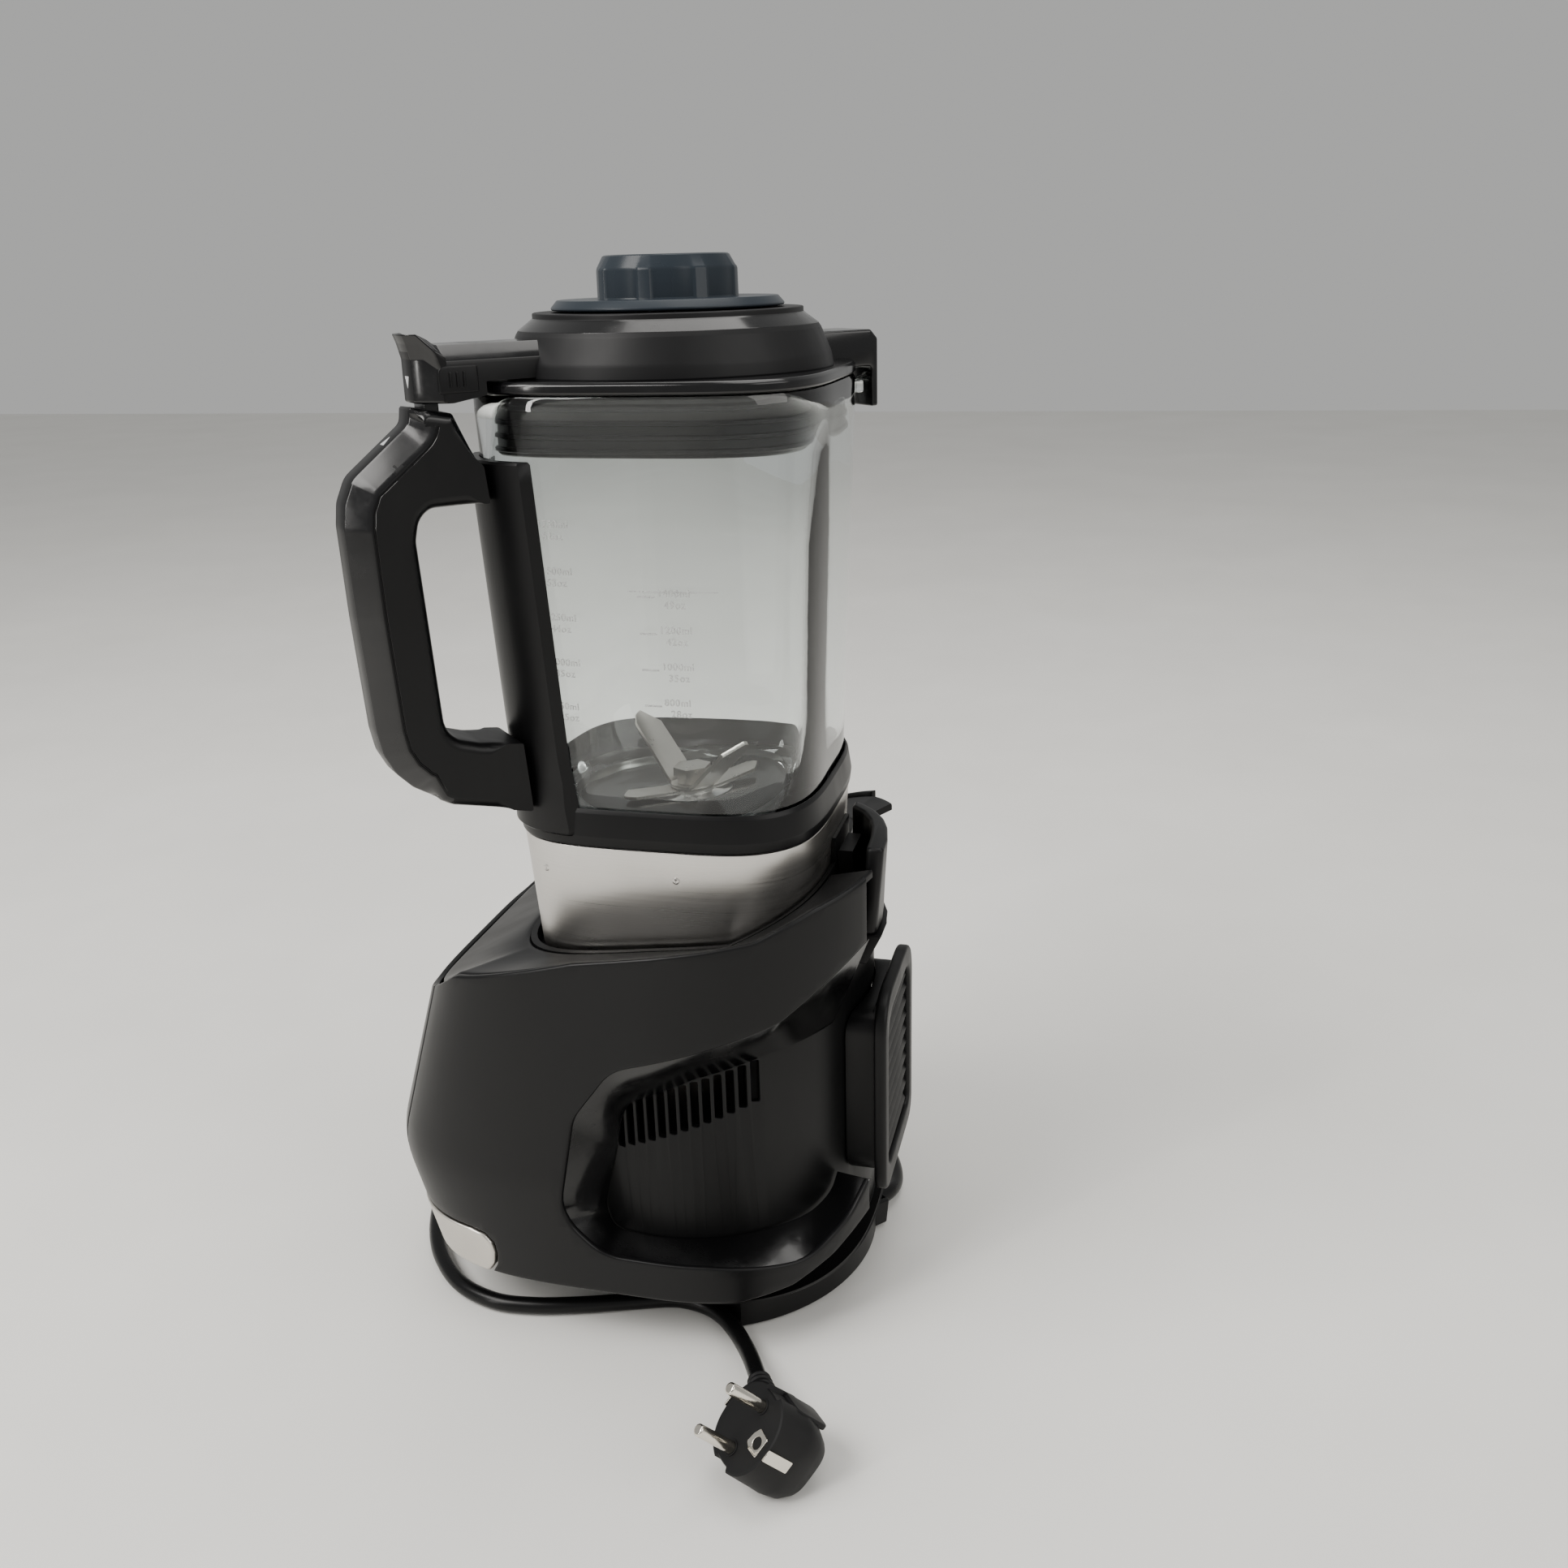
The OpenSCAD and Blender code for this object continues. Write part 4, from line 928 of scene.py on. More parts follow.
def grille():
    outline = rounded([(-37, -48), (37, -48), (37, 48), (-37, 48)], [12, 12, 20, 20], 10)
    window = rounded([(-29, -38), (29, -38), (29, 38), (-29, 38)], [8, 8, 13, 13], 8)
    frame_mesh = prism([outline, window], 5.6, 1.6)
    parts = [bend(frame_mesh, "frame", lambda u, v, w: (u, 90.2 + w, 100 + v))]
    for i in range(GRILLE_SLATS):
        z = -33 + i * 7.35
        half = 29.6 if abs(z) < 30 else 26
        bar = prism([rounded([(-half, -2.0), (half, -2.0), (half, 2.0), (-half, 2.0)], 0.8, 3)], 1.6, 0.5)
        tilted = lambda u, v, w, z=z: (u, 90 + w * 0.8 - v * 0.5, 100 + z + v * 0.9)
        parts.append(bend(bar, "slat", tilted))
    back = prism([rounded([(-30, -39), (30, -39), (30, 39), (-30, 39)], 8)], 0.8, 0.2)
    parts.append(bend(back, "mesh_back", lambda u, v, w: (u, 85.6 + w, 100 + v)))
    return assemble("rear_vent_grille", parts, "housing", "base", ["vent_grille"])


def vent_duct():
    outline = rounded([(-32, -40), (32, -40), (32, 40), (-32, 40)], 11, 8)
    hole = rounded([(-28.5, -36.5), (28.5, -36.5), (28.5, 36.5), (-28.5, 36.5)], 7, 8)

    def place(u, v, w):
        front = sqrt((HOUSING_R + 0.6) ** 2 - u * u)
        return u, lerp(front, 87.6, w / 20 + 0.5), 99 + v

    piece = bend(prism([outline, hole], 20, 0.6), "vent_duct", place, 4, 0)
    return finish(piece, "housing", "base", ["vent_box"])


def hood():
    """Hook-shaped wall that guards the jar's contacts."""
    outer = [(28, 90.6), (14, 90), (0.5, 87.6), (-9, 84.4), (-18, 79), (-25, 72.5), (-28, 67.8)]
    inner = [(-21, 67.8), (-15, 74), (-6, 78.6), (3, 81), (14, 82.4), (28, 83)]
    wall = rounded(outer + inner, [2.5] + [14] * 5 + [2, 2] + [14] * 4 + [2.5], 5)

    def place(u, v, w):
        z = 196 + w
        lean = max(0.0, (182 - z) / 18)
        r = hypot(u, v)
        pull = 1 - lean * max(0.0, r - 80.5) / r
        return u * pull, v * pull, z

    mesh = prism([wall], 40, 1.6, 3)
    body = bend(mesh, "hood_wall", place, 0, 0, 40)
    floor_line = rounded(outer + [(-27.8, 67.9), (27.8, 67.9)], 1)
    foot = bend(prism([floor_line], 14, 0.8), "hood_foot",
                lambda u, v, w: (u * 0.97, min(v, 82.5 + (w + 7) * 0.5), 169 + w), 0, 0, 40)
    return assemble("contact_hood", [body, foot], "casing", "base", ["connector_hood"])


def lobe(r, start, inset):
    """Outline of the pan's round rear, its front corners drawn in so that the lead can pass."""
    t = np.radians(np.linspace(start, 180 - start, 60))
    corners = [(67.6, 28.8), (62.6, 20.8), (50, 14)]
    line = [(r * cos(a), r * sin(a)) for a in t] + [(inset - x, y + inset) for x, y in corners]
    return np.array(line + [(x - inset, y + inset) for x, y in reversed(corners)])


def pan():
    """Pedestal under the casing with its flange, the round rear foot, and the channel for the lead."""
    rings = []
    for a, f, r, z in ((50, 85, 69, 3.4), (56, 91, 75, 3.2), (57, 92, 76, 4), (63, 96.5, 82, 20),
                       (64.5, 97.5, 83, 23), (66, 98.5, 83.5, 24), (89, 110.5, 84, 24.2),
                       (90.3, 111.8, 83.4, 24.8), (90.3, 111.8, 83.4, 25.8), (60, 90, 76, 25.9),
                       (52, 86, 70, 6.5)):
        rings.append(at_height(evenly(egg(FULL_TURN, a, f, r, PAN_N, PAN_N), 240), z))
    pedestal = skin("pedestal", rings, angle=40)
    skirt = prism([lobe(80.4, 25, 0), lobe(77, 28, 4)], 25, 1.0)
    rear = bend(skirt, "rear_foot", lambda u, v, w: (u, v, 13.6 + w))
    for part in (pedestal, rear):
        tunnel = bend(prism([[(0, -7.4), (60, -7.4), (60, 7.4), (0, 7.4)]], 46, 0.5), "tunnel",
                      lambda u, v, w: tuple(EXIT_PLACE @ Vector((u, v, w - 15.8))))
        carve(part, tunnel)
        part.data.materials.clear()
    channel = prism([rounded([(-3, -10.4), (27, -10.4), (27, 10.4), (-3, 10.4)], 2),
                     rounded([(0, -7.4), (26.9, -7.4), (26.9, 7.4), (0, 7.4)], 1)], 12, 0.5)
    walls = bend(channel, "channel", lambda u, v, w: tuple(EXIT_PLACE @ Vector((u, v, w - 1))))
    return assemble("pedestal_pan", [pedestal, rear, walls], "housing", "base", ["base_pan"])


def foot():
    half, front, rear = 55, 89, 73
    outer = evenly(egg(FULL_TURN, half, front, rear, PAN_N, PAN_N), 200)
    rings = []
    for inset, z in ((0, 2.95), (0, 0.6), (0.6, 0.02), (6.4, 0.02), (7, 0.6), (7, 2.95)):
        scale = np.array([(half - inset) / half, (front - inset) / front])
        rings.append(at_height(outer * scale, z))
    return finish(skin("foot_ring_tread", rings), "foot", "base", ["foot_ring"])


def carve(piece, cutter):
    """Cuts the cutter out of the piece, and removes it."""
    cut = piece.modifiers.new("cut", "BOOLEAN")
    cut.object = cutter
    cut.solver = "EXACT"
    mesh = evaluated(piece)
    piece.modifiers.clear()
    piece.data = tidy(mesh)
    bpy.data.objects.remove(cutter)


def arrow(name, place, points, body):
    """Small printed mark that lies on a surface."""
    mark = bend(prism([rounded(points, 0.15, 3)], 0.24, 0.05, 1), name, place)
    return finish(mark, "print", body)


shroud("side_casing_right", 1, "side_shroud_right")
shroud("side_casing_left", -1, "side_shroud_left")
fascia()
chin()
deck()
bezel("recess_band_right", 1, "recess_bezel_right")
bezel("recess_band_left", -1, "recess_bezel_left")
housing()
grille()
vent_duct()
hood()
pan()
foot()

# ------------------------------------------------------------------ jar

SQUARE = squircle(240)
HANDLE_ANGLE, HOOK_ANGLE = -45, 135
SPINE_HALF = 23.5
ROUND = circle(160)


def glass_half(z):
    return float(np.interp(z, [218, 224, 233, 241, 378, 398, 402], [60, 60.9, 62.4, 63.3, 69, 69.6, 69.2]))


def glass():
    outer = [(58.9, 218), (59.9, 218.9), (60.9, 224), (62.4, 233), (63.3, 241), (64.7, 275), (66.1, 309),
             (67.6, 344), (69, 378), (69.55, 396), (69.5, 400), (68.8, 401.6), (67.2, 402)]
    mouth = [(65.6, 401.6), (64.8, 400), (64.2, 392)]
    walls = [(64, 378), (62.6, 344), (61.2, 310), (59.8, 276), (58.8, 252)]
    floor = [(57.9, 244), (56.4, 238), (53.6, 232.5), (51.6, 229)]
    # The inside is squarer than the outside, so the corners are thin and bend the light
    squarer = squircle(240, 4.6)
    rings = []
    for outline, levels in ((SQUARE, outer + mouth), (squarer, walls), (SQUARE, floor)):
        rings += [at_height(outline * h, z) for h, z in levels]
    # The opening for the heating plate is round
    flat = np.arctan2(SQUARE[:, 1], SQUARE[:, 0])
    ring_pts = np.stack([np.cos(flat), np.sin(flat)], -1)
    for r, z in ((50.6, 228), (50.2, 227), (50.2, 218)):
        rings.append(at_height(ring_pts * r, z))
    body = skin("glass_body", rings, angle=40)
    lug_line = rounded([(79, 392.4), (87.6, 392.4), (87.6, 397.6), (79, 397.6)], 1.2)
    lug = fin("lug", [lug_line], HOOK_ANGLE, 17.6, 1.0)
    return assemble("glass_jar_body", [body, lug], "glass", "jar", ["glass_jar"])


def on_glass(y, z, lift):
    a = glass_half(z)
    return a * (1 - min(1, abs(y / a) ** JAR_N)) ** (1 / JAR_N) + lift


def graduations():
    """Moulded ticks and plain volume numbers on the +X face."""
    marks = []

    def bar(y0, y1, z, tall=0.7):
        low, high = z - tall / 2, z + tall / 2
        line = rounded([(y0, low), (y1, low), (y1, high), (y0, high)], 0.25, 2)
        mesh = prism([line], 0.4, 0.12, 1)
        marks.append(bend(mesh, "tick", lambda u, v, w: (on_glass(u, v, w + 0.19), u, v), 3, 0))

    def number(text, y, z, size):
        data = bpy.data.curves.new("number", "FONT")
        data.body = text
        data.size = size
        data.extrude = 0.12
        data.bevel_depth = 0.05
        data.space_character = 1.12
        data.align_y = "CENTER"
        holder = bpy.data.objects.new("number", data)
        bpy.context.scene.collection.objects.link(holder)
        mesh = evaluated(holder)
        bpy.data.objects.remove(holder)
        marks.append(bend(mesh, "number", lambda u, v, w: (on_glass(y + u, z + v, w + 0.16), y + u, z + v)))

    left = ((1750, 62, 353.9), (1500, 53, 335.9), (1250, 44, 317.8), (1000, 35, 299.8), (750, 25, 281.7))
    for ml, ounces, z in left:
        bar(-43, -36.2, z)
        number(f"{ml}ml", -34.6, z + 1.5, 3.9)
        number(f"{ounces}oz", -32.8, z - 3.1, 3.9)
    right = ((1400, 49, 328.6), (1200, 42, 314.2), (1000, 35, 299.8), (800, 28, 285.3))
    for ml, ounces, z in right:
        bar(3.5, 10.5, z)
        number(f"{ml}ml", 11.6, z + 1.5, 3.9)
        number(f"{ounces}oz", 14.0, z - 3.1, 3.9)
    bar(0, 35, 330.6, 0.4)
    return finish(join("glass_graduations", marks), "mark", "jar")


def collar():
    corners = [(62.1, 224.1), (65.9, 224.1), (66.5, 229), (65.2, 238.5), (64.4, 240.2), (63.9, 240.2),
               (62.4, 229)]
    ring = turned("jar_collar_ring", rounded(corners, [0.4, 1.2, 2, 1.5, 0.4, 0.3, 0.5]), SQUARE)
    return finish(ring, "casing", "jar", ["jar_collar"])


def band():
    corners = [(58.8, 166.1), (60.4, 166.1), (62.0, 170), (65.2, 223.7), (64.0, 223.7), (60.9, 171)]
    section = rounded(corners, [0.3, 2, 4, 0.4, 0.3, 1])
    parts = [turned("band", fine(section, 6), SQUARE)]
    rivet = rounded([(0.01, 0.0), (1.3, 0.0), (1.5, 0.25), (0.9, 0.4), (0.01, 0.25)], 0.1)
    sideways = Matrix.Rotation(radians(90), 4, "Y")
    for y, z in ((-46, 211), (12, 211.5)):
        dimple = turned("dimple", rivet, circle(24))
        x = (62.2 + (z - 171) * 3 / 52.8) * (1 - abs(y / 64.5) ** JAR_N) ** (1 / JAR_N)
        dimple.data.transform(Matrix.Translation((x * MM, y * MM, z * MM)) @ sideways)
        parts.append(dimple)
    return assemble("steel_band_sleeve", parts, "steel_band", "jar", ["steel_band"])


def spine():
    """Strip that wraps the jar's corner, carries the handle and ends in a tongue over the collar."""
    rings = []
    for z in np.r_[228.6, 229.6, 232, 241, np.linspace(246, 370, 26), 377.4, 378.4]:
        half = 63.3 + (max(z, 234) - 241) * 5.7 / 137
        end = 0.8 if z < 229 or z > 378 else 0
        lift = 4.9 if z < 241 else max(4.0, 4.9 - (z - 241) * 0.09)
        width = SPINE_HALF + max(0, 262 - z) * 0.06 - end
        ring = []
        for grow, order in ((lift - end, 1), (0.4, -1)):
            local = SQUARE * (half + grow)
            along = (local[:, 0] - local[:, 1]) / sqrt(2)
            across = (local[:, 0] + local[:, 1]) / sqrt(2)
            pick = np.where(along > 40)[0]
            pick = pick[np.argsort(across[pick])]
            s = np.linspace(-width, width, 61)
            if grow > 1:
                s = s * 0.985
            r = np.interp(s, across[pick], along[pick])
            pts = [((a + b) / sqrt(2), (b - a) / sqrt(2), z) for a, b in zip(r, s)]
            ring += pts[::order]
        rings.append(ring)
    piece = skin("handle_spine_strip", rings, close_rings=False, caps=True, angle=40)
    return finish(piece, "grip", "jar", ["handle_spine"])


def stacked(name, line, place, levels, angle, material, polished):
    """Solid built up from one [r, z] outline at several distances either side of its middle plane.
    place(point, i, level) gives the outline's point i at a level; polished(r, z, lean) picks shiny faces."""
    c, s = cos(radians(angle)), sin(radians(angle))
    rings = []
    for side, order in ((-1, reversed(levels)), (1, levels[1:])):
        for level in order:
            ring = []
            for i, point in enumerate(line):
                r, z, w = place(point, i, level)
                ring.append((r * c + side * w * s, r * s - side * w * c, z))
            rings.append(ring)
    piece = skin(name, rings, close_rings=False, caps=True, angle=32)
    piece.data.materials.append(MAT[material])
    piece.data.materials.append(MAT["chamfer"])
    across = Vector((s, -c, 0))
    for f in piece.data.polygons:
        x, y, z = f.center / MM
        if polished(x * c + y * s, z, abs(f.normal.dot(across))):
            f.material_index = 1
    return piece


def handle():
    """Grip with a matt strip down its outside, a polished chamfer each side of it, and a soft opening."""
    outer = [(79.6, 243.4), (79.4, 238.4), (112.4, 247.6), (125, 256), (131, 262.7), (135, 271),
             (136.6, 280.5), (138.6, 325), (139.2, 358.6), (138, 367), (134, 375.7), (111.4, 393.4),
             (110.6, 399.6), (96, 396.8), (89, 380), (86.8, 377), (85.6, 363.4)]
    gap = [(108.5, 363.4), (112.8, 359.5), (114.6, 352), (111.6, 281.5), (110.2, 277), (106.8, 273.6),
           (98, 270.5), (81.2, 267.7)]
    corners = rounded(outer + gap, [0.5, 1] + [10] * 9 + [5, 1.2, 1, 5, 2, 0.5] + [9] * 7 + [0.5], 6)
    count = 460
    line = evenly(corners, count)
    first, last = nearest(line, (116, 249.5)), nearest(line, (110.6, 399.6))
    step = np.linalg.norm(line[1] - line[0])
    ahead = np.roll(line, -4, axis=0) - np.roll(line, 4, axis=0)
    inward = np.column_stack([-ahead[:, 1], ahead[:, 0]]) / np.linalg.norm(ahead, axis=1)[:, None]
    outside = np.array([np.clip(min(i - first, last + 5 - i) * step / 8, 0, 1) for i in range(count)])
    free = np.clip((line[:, 0] - 88) / 6, 0, 1) * (1 - outside)
    # Each level: distance from the middle, draw-in of the outside and of the opening, depth of the seam
    levels = [(0, 0, 0, 0), (5.2, 0, 0, 0), (5.6, 0.15, 0, 0), (6.1, 0.6, 0, 0), (9.5, 3.9, 0, 0),
              (10.8, 5.2, 0.2, 0), (12, 6.4, 0.9, 0), (12.9, 7.3, 1.9, 0), (13.35, 7.9, 2.9, 0),
              (13.5, 8.5, 4, 0), (13.5, 8.8, 4.1, 0.35), (13.5, 9.1, 4.2, 0.35), (13.5, 9.4, 4.3, 0)]

    def place(point, i, level):
        w, out, opening, seam_line = level
        r, z = point + inward[i] * (out * outside[i] + opening * free[i])
        return r, z, w - seam_line * outside[i]

    def polished(r, z, lean):
        return 0.3 < lean < 0.96 and (r > 120 or z > 380 or (z < 262 and r > 112))

    piece = stacked("handle_grip_moulding", line, place, levels, HANDLE_ANGLE, "grip", polished)
    return finish(piece, "grip", "jar", ["handle_grip"])


def cutter():
    """Bush, hub nut and four ground wings; the wings keep the CAD's places."""
    for node in ("upper_blade", "lower_blade", "blade_nut", "blade_bearing"):
        mesh = nodes[node].data.copy()
        with editing(mesh) as bm:
            bmesh.ops.remove_doubles(bm, verts=bm.verts, dist=1e-6)
            sharp = [e for e in bm.edges if len(e.link_faces) == 2 and e.calc_face_angle(0) > radians(30)]
            bmesh.ops.bevel(bm, geom=sharp, offset=0.35 * MM, segments=2, profile=0.6, affect="EDGES",
                            clamp_overlap=True)
        mesh.materials.clear()
        piece = link(node + "_ground", tidy(mesh, 40))
        body = "jar" if node == "blade_bearing" else "blades"
        finish(piece, "steel" if node == "blade_bearing" else "blade", body, [node])


def heater_disc():
    corners = [(17.2, 219.2), (49.8, 219.2), (49.8, 224.4), (44, 225.0), (38, 224.6), (24, 224.7),
               (17.2, 225)]
    disc = turned("heating_plate_disc", rounded(corners, [0.5, 0.5, 1, 3, 3, 3, 0.5]), ROUND)
    return finish(disc, "plate", "jar", ["heater_plate"])


glass()
graduations()
collar()
band()
spine()
handle()
cutter()
heater_disc()

# ------------------------------------------------------------------ lid


def lid_body():
    """Cone, step and flange in one moulding, with the hook at the rear."""
    corners = [(38.3, 405), (64, 405), (65.2, 407.2), (64.4, 412), (60.4, 421.6), (59.2, 423.4),
               (54.2, 427.0), (53.5, 427.6), (53.5, 429.5), (38.3, 429.5)]
    cone = rounded(corners, [0.3, 0.5, 1, 8, 2, 1.2, 1.5, 0.3, 0.6, 0.6])
    top = turned("cone", cone, ROUND)
    top.data.materials.append(MAT["lid"])
    top.data.materials.append(MAT["chamfer"])
    for f in top.data.polygons:
        z = f.center.z / MM
        f.material_index = 1 if 422.8 < z < 427.4 and f.center.xy.length > 0.053 else 0
    corners = [(38.2, 402.4), (69.4, 402.4), (69.7, 403.2), (69.7, 405.6), (68.6, 406.9), (38.2, 406.9)]
    flange = turned("flange", rounded(corners, [0.2, 0.6, 0.6, 1.2, 1.2, 0.2]), SQUARE)
    corners = [(58, 405), (58, 418.3), (88.6, 418.3), (92.1, 414.6), (92.1, 386.7), (88.8, 386.7),
               (88.8, 403.4), (76, 403.4)]
    hook = fin("hook", [rounded(corners, [0.5, 1, 2, 2, 1, 0.8, 1.5, 0.5])], HOOK_ANGLE, 25.6, 1.2)
    return assemble("lid_moulding", [top, flange, hook], "chamfer", "lid", ["lid_shell"])


def gasket():
    section = [(56.4, 379.3), (61.2, 379.3), (62.2, 380.2)]
    for z in (381, 386, 391, 396):
        section += [(62.4, z - 0.2), (63.3, z + 0.2), (63.4, z + 0.8), (63.3, z + 1.4), (62.4, z + 1.9)]
    section += [(62.4, 401.8), (56.4, 401.8)]
    return finish(turned("lid_gasket_ring", section, SQUARE, 50), "seal", "lid", ["lid_gasket"])


def arm():
    """Lever arm with chamfered edges and a thumb lip, and the tongue that drops into the handle."""
    corners = rounded([(57, 407.7), (57, 420.8), (101, 420.8), (110.5, 425.3), (109.2, 421.5), (107.9, 416),
                       (108.1, 400.6), (96, 400.6), (83, 402.7), (83, 407.7)],
                      [0.3, 0.6, 9, 0.5, 5, 2, 1.2, 1, 1, 0.5], 5)
    line = fine(corners, 2.5)
    # Each level: distance from the middle, how far the top comes down and how far the end is drawn in
    levels = [(0, 0, 0), (5.2, 0, 0), (5.7, 0, 0.25), (9, 0, 3.5), (9.5, 0.35, 4), (13.2, 4.9, 7.7),
              (13.7, 5.7, 8.4), (13.9, 6.6, 9.2)]

    def place(point, i, level):
        w, drop, end = level
        r, z = point
        top = np.clip((z - 410) / 8, 0, 1)
        return r - end * np.clip((r - 97) / 10, 0, 1), z - drop * top, w

    def polished(r, z, lean):
        return 0.3 < lean < 0.95 or z > 419

    piece = stacked("arm", line, place, levels, HANDLE_ANGLE, "grip", polished)
    peg = rounded([(99.2, 388.2), (104.8, 388.2), (104.8, 401), (99.2, 401)], 1)
    tongue = fin("tongue", [peg], HANDLE_ANGLE, 11.8, 0.6)
    return assemble("lid_arm_moulding", [piece, tongue], "chamfer", "lid", ["lid_arm"])


def release(side, name, node, body):
    """Push plate with three fine upright ribs, flush with the arm's side below its chamfer."""
    plate = prism([rounded([(-9, -7), (6, -7), (6, 2.6), (-9, 2.6)], [1, 1, 3, 1], 6)], 3.2, 0.5)

    def at(u, v, w, out):
        r, s = 95 + u, side * (12.6 + out + w)
        return (r + s) * C45, (s - r) * C45, 411 + v

    parts = [bend(plate, "plate", lambda u, v, w: at(u, v, w, 0))]
    for x in (-3.6, -1, 1.6):
        rib = prism([rounded([(-0.4, -4.8), (0.4, -4.8), (0.4, 0.6), (-0.4, 0.6)], 0.35, 4)], 0.8, 0.2)
        parts.append(bend(rib, "rib", lambda u, v, w, x=x: at(u + x, v, w, 1.8)))
    return assemble(name, parts, "grip", body, [node])


def seal_ring():
    section = rounded([(33.6, 405.2), (37.3, 405.2), (37.3, 429.6), (33.6, 429.6)], 0.8)
    return finish(turned("cap_seal_ring", section, ROUND), "seal", "seal_ring", ["cap_seal"])


KNOB_FLATS = 8


def cap():
    """Disc and knob: eight wide flats between narrow ribs."""
    corners = [(0.01, 430.15), (45.6, 430.15), (46.1, 430.7), (46.0, 431.2), (43.6, 433.9), (0.01, 434.1)]
    disc = turned("disc", rounded(corners, [0, 0.4, 0.3, 0.3, 1, 0]), ROUND, 30)
    count = 720
    t = np.linspace(0, 2 * pi, count, endpoint=False)
    pitch = 2 * pi / KNOB_FLATS

    def radius(base, depth):
        r = np.full(count, float(base))
        for i, a in enumerate(t):
            k = (a % pitch) / pitch
            if 0.1 < k < 0.9:
                s = (k - 0.5) / 0.4
                r[i] = base - depth * (1 - s ** 6)
        return r

    levels = [(28.9, 0.9, 433.6), (28.5, 0.95, 434.4), (28.4, 0.95, 444.2), (28.1, 0.8, 445.0),
              (27.6, 0.5, 445.5), (24.9, 0, 449.5), (24.2, 0, 449.9), (23.2, 0, 450.0), (14, 0, 449.7),
              (0.02, 0, 449.6)]
    rings = []
    for base, depth, z in levels:
        r = radius(base, depth)
        rings.append(np.column_stack([r * np.cos(t), r * np.sin(t), np.full(count, z)]))
    knob = skin("knob", rings, close_rings=False, angle=26)
    return assemble("cap_with_knob", [disc, knob], "cap", "cap", ["cap_disc"])


lid_body()
gasket()
arm()
release(1, "release_plate_near", "lid_release_near", "release_near")
release(-1, "release_plate_far", "lid_release_far", "release_far")
seal_ring()
cap()

# ------------------------------------------------------------------ control panel and hidden pieces

PANEL_TILT = radians(72.2)


def on_panel(u, v, w):
    """Point of the panel's own plane: u to the right, v up the slope and w outwards."""
    y = -base_front(115)
    w = w - 1.8
    return u, y + v * cos(PANEL_TILT) - w * sin(PANEL_TILT), 115 + v * sin(PANEL_TILT) + w * cos(PANEL_TILT)


BUTTONS = {"power": (-38, 11, 7), "start": (38, 11, 7), "blend": (-36, -15, 5.5), "soup": (-12, -15, 5.5),
           "crush": (12, -15, 5.5), "clean": (36, -15, 5.5)}


def panel():
    edge = rounded([(-52, -28), (52, -28), (52, 28), (-52, 28)], 7.5, 8)
    holes = [rounded([(-23, 1), (23, 1), (23, 21), (-23, 21)], 2.5)]
    holes += [circle(48) * (r + 0.4) + [x, y] for x, y, r in BUTTONS.values()]
    plate = bend(prism([edge] + holes, 3, 0.5), "control_fascia", lambda u, v, w: on_panel(u, v, w - 1.5))
    finish(plate, "gloss", "base", ["control_panel"])
    glass_line = rounded([(-22.7, 1.3), (22.7, 1.3), (22.7, 20.7), (-22.7, 20.7)], 2.2)
    window = bend(prism([glass_line], 1.8, 0.3), "display_glass", lambda u, v, w: on_panel(u, v, w - 1.3))
    finish(window, "window", "base", ["display_window"])
    for name, (x, y, r) in BUTTONS.items():
        corners = [(0.01, -4.2), (r + 1.4, -4.2), (r + 1.4, -3.4), (r - 0.05, -3.4), (r - 0.05, 0.9),
                   (0.01, 0.65)]
        section = rounded(corners, [0, 0.2, 0.2, 0.1, 0.7, 0], 5)
        key = turned("key", section, circle(56))
        for vert in key.data.vertices:
            vert.co = Vector(on_panel(x + vert.co.x / MM, y + vert.co.y / MM, vert.co.z / MM)) * MM
        key.name = name + "_key_cap"
        finish(key, "cap", name + "_key", [name + "_button"])


panel()
HIDDEN = {
    "housing": ("jar_well", "heater_socket", "cooling_fan", "drive_socket", "drive_dog"),
    "board": ("control_board", "power_board"),
    "laminations": ("motor_stator",),
    "cast": ("motor_mount",),
    "copper": ("motor_armature",),
    "steel": ("motor_bearings", "base_screws", "motor_shaft", "heater_element", "blade_shaft"),
    "casing": ("jar_base_cup", "heater_plug"),
}
for material, places in HIDDEN.items():
    for node in places:
        paint(node, material)

# ------------------------------------------------------------------ printed marks

ROOT_SLOPE = atan2(375.7 - 393.4, 134 - 111.4)


def on_arm_end(u, v, w):
    """Point of the arm's end face: u across, v up, w outwards."""
    r = 108.05 + w
    return (r + u) * C45, (u - r) * C45, 408 + v


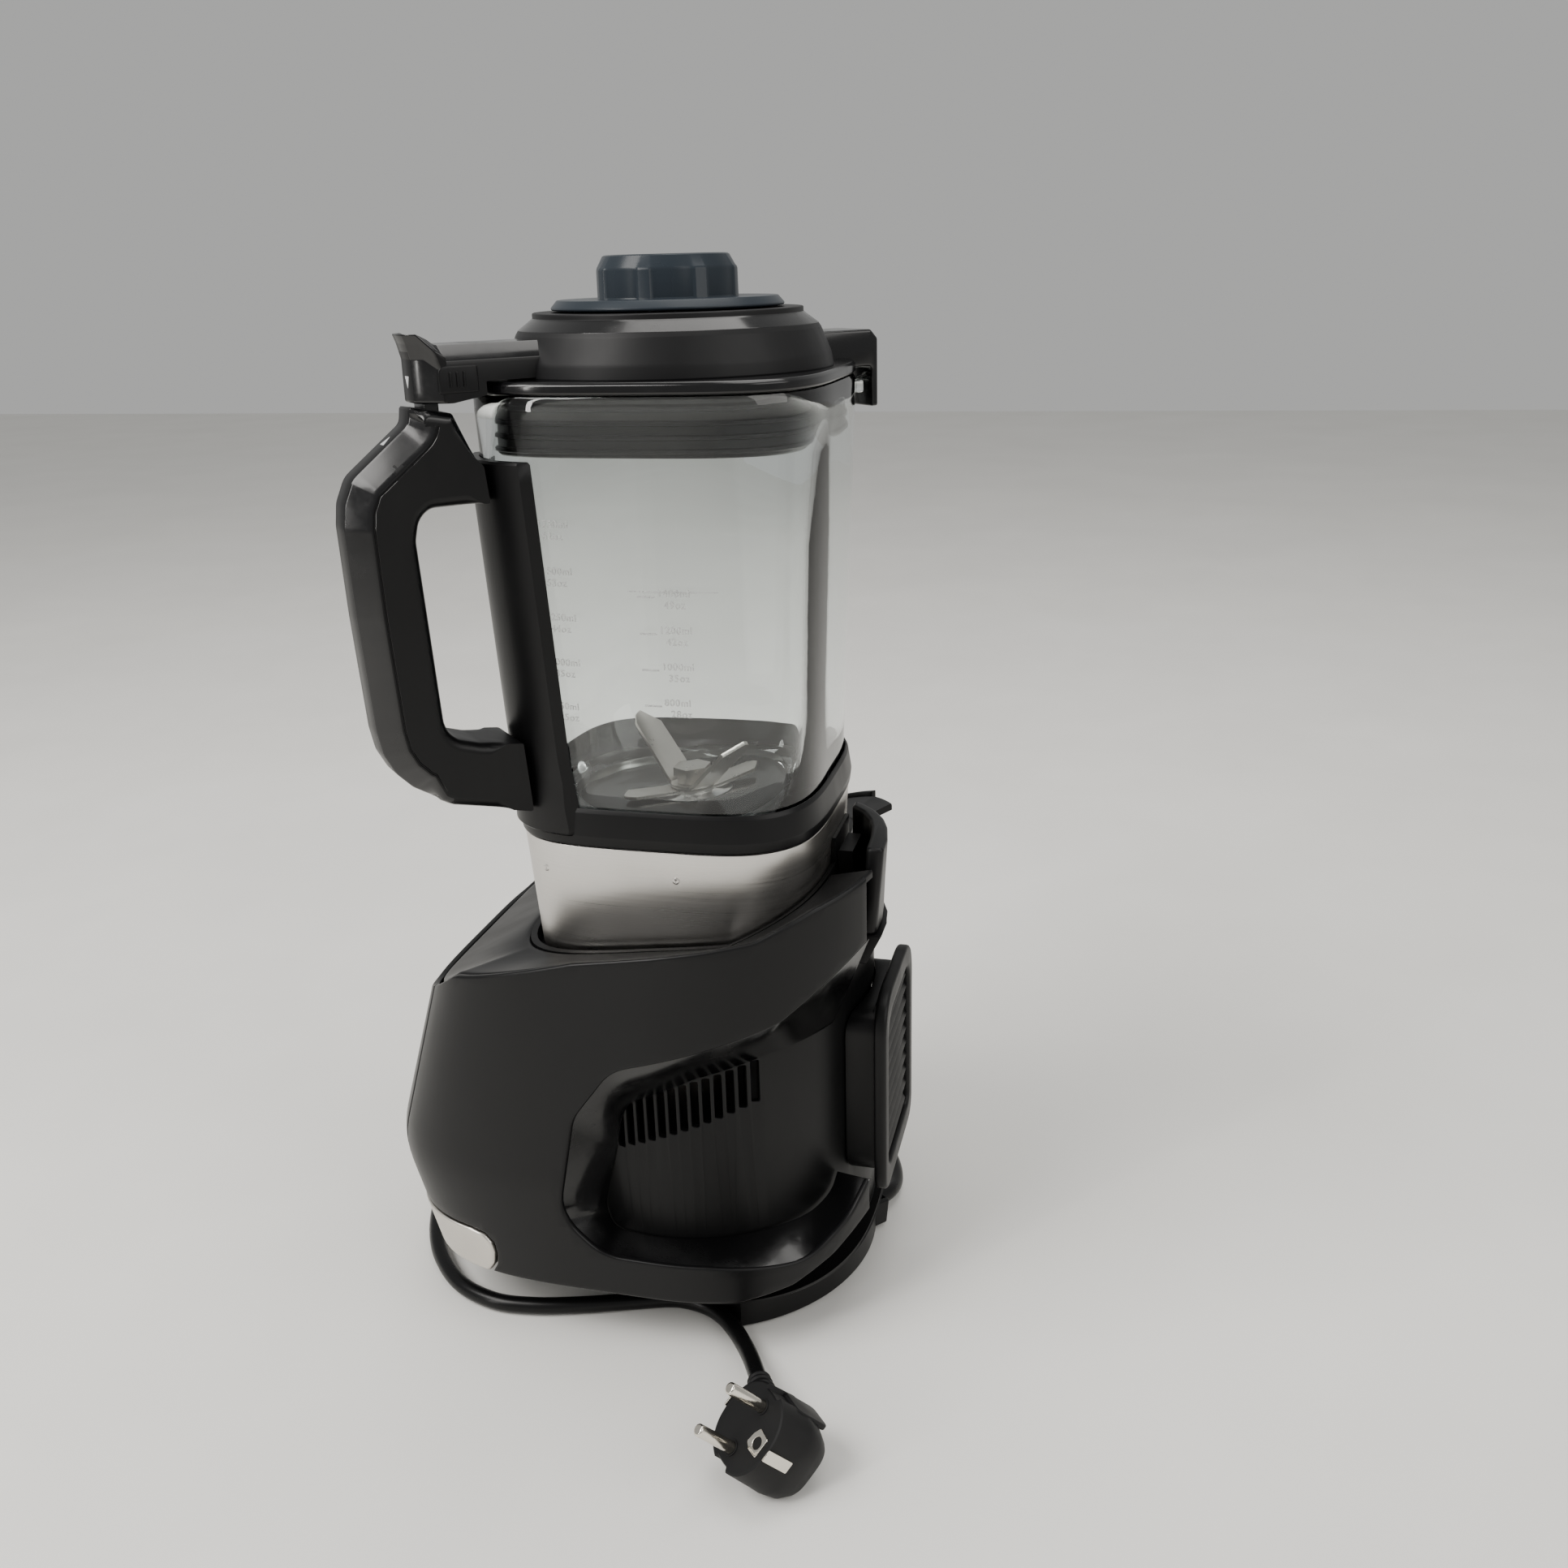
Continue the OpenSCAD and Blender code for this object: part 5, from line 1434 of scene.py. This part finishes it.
def on_handle_top(u, v, w):
    """Point of the matt strip where the handle slopes down from the lid; v runs up the slope."""
    r = 118.5 - v * cos(ROOT_SLOPE) - w * sin(ROOT_SLOPE)
    z = 387.85 - v * sin(ROOT_SLOPE) + w * cos(ROOT_SLOPE)
    return (r + u) * C45, (u - r) * C45, z


arrow("lid_arm_mark", on_arm_end, [(-2.0, 2.1), (2.0, 2.1), (0, -2.3)], "lid")
arrow("handle_mark", on_handle_top, [(-2.0, -2.1), (2.0, -2.1), (0, 2.3)], "jar")


# ------------------------------------------------------------------ floor and light


def floor():
    m = Nodes("pale_floor")
    m.set(metal=0, spec=0.3)
    m.to("Base Color", m.colors(m.noise(5, 3), (0.78, 0.77, 0.74), (0.82, 0.81, 0.78)))
    m.to("Roughness", m.ramp(m.noise(20, 3), 0.5, 0.62))
    mesh = bpy.data.meshes.new("floor")
    mesh.from_pydata([(-4, -4, 0), (4, -4, 0), (4, 4, 0), (-4, 4, 0)], [], [(0, 1, 2, 3)])
    plane = link("floor", mesh)
    mesh.materials.append(m.material)


def light(name, place, aim, size, power, color=(1, 0.98, 0.95)):
    data = bpy.data.lights.new(name, "AREA")
    data.shape = "RECTANGLE"
    data.size, data.size_y = size
    data.energy = power
    data.color = color
    lamp = bpy.data.objects.new(name, data)
    lamp.location = place
    lamp.rotation_euler = (Vector(aim) - Vector(place)).to_track_quat("-Z", "Y").to_euler()
    bpy.context.scene.collection.objects.link(lamp)


def world():
    w = bpy.data.worlds.new("studio")
    w.use_nodes = True
    w.node_tree.nodes["Background"].inputs["Color"].default_value = (0.60, 0.60, 0.59, 1)
    w.node_tree.nodes["Background"].inputs["Strength"].default_value = 0.75
    bpy.context.scene.world = w


floor()
world()
light("key", (0.9, -1.0, 1.7), (0, 0, 0.2), (1.2, 0.9), 36)
light("fill", (0.6, 1.5, 1.2), (0, 0, 0.2), (1.6, 1.2), 15)
light("top", (-0.3, 0.1, 1.9), (0, 0, 0.2), (1.2, 1.2), 17)
light("strip", (1.2, -0.95, 0.75), (0, 0, 0.22), (0.08, 0.9), 5)
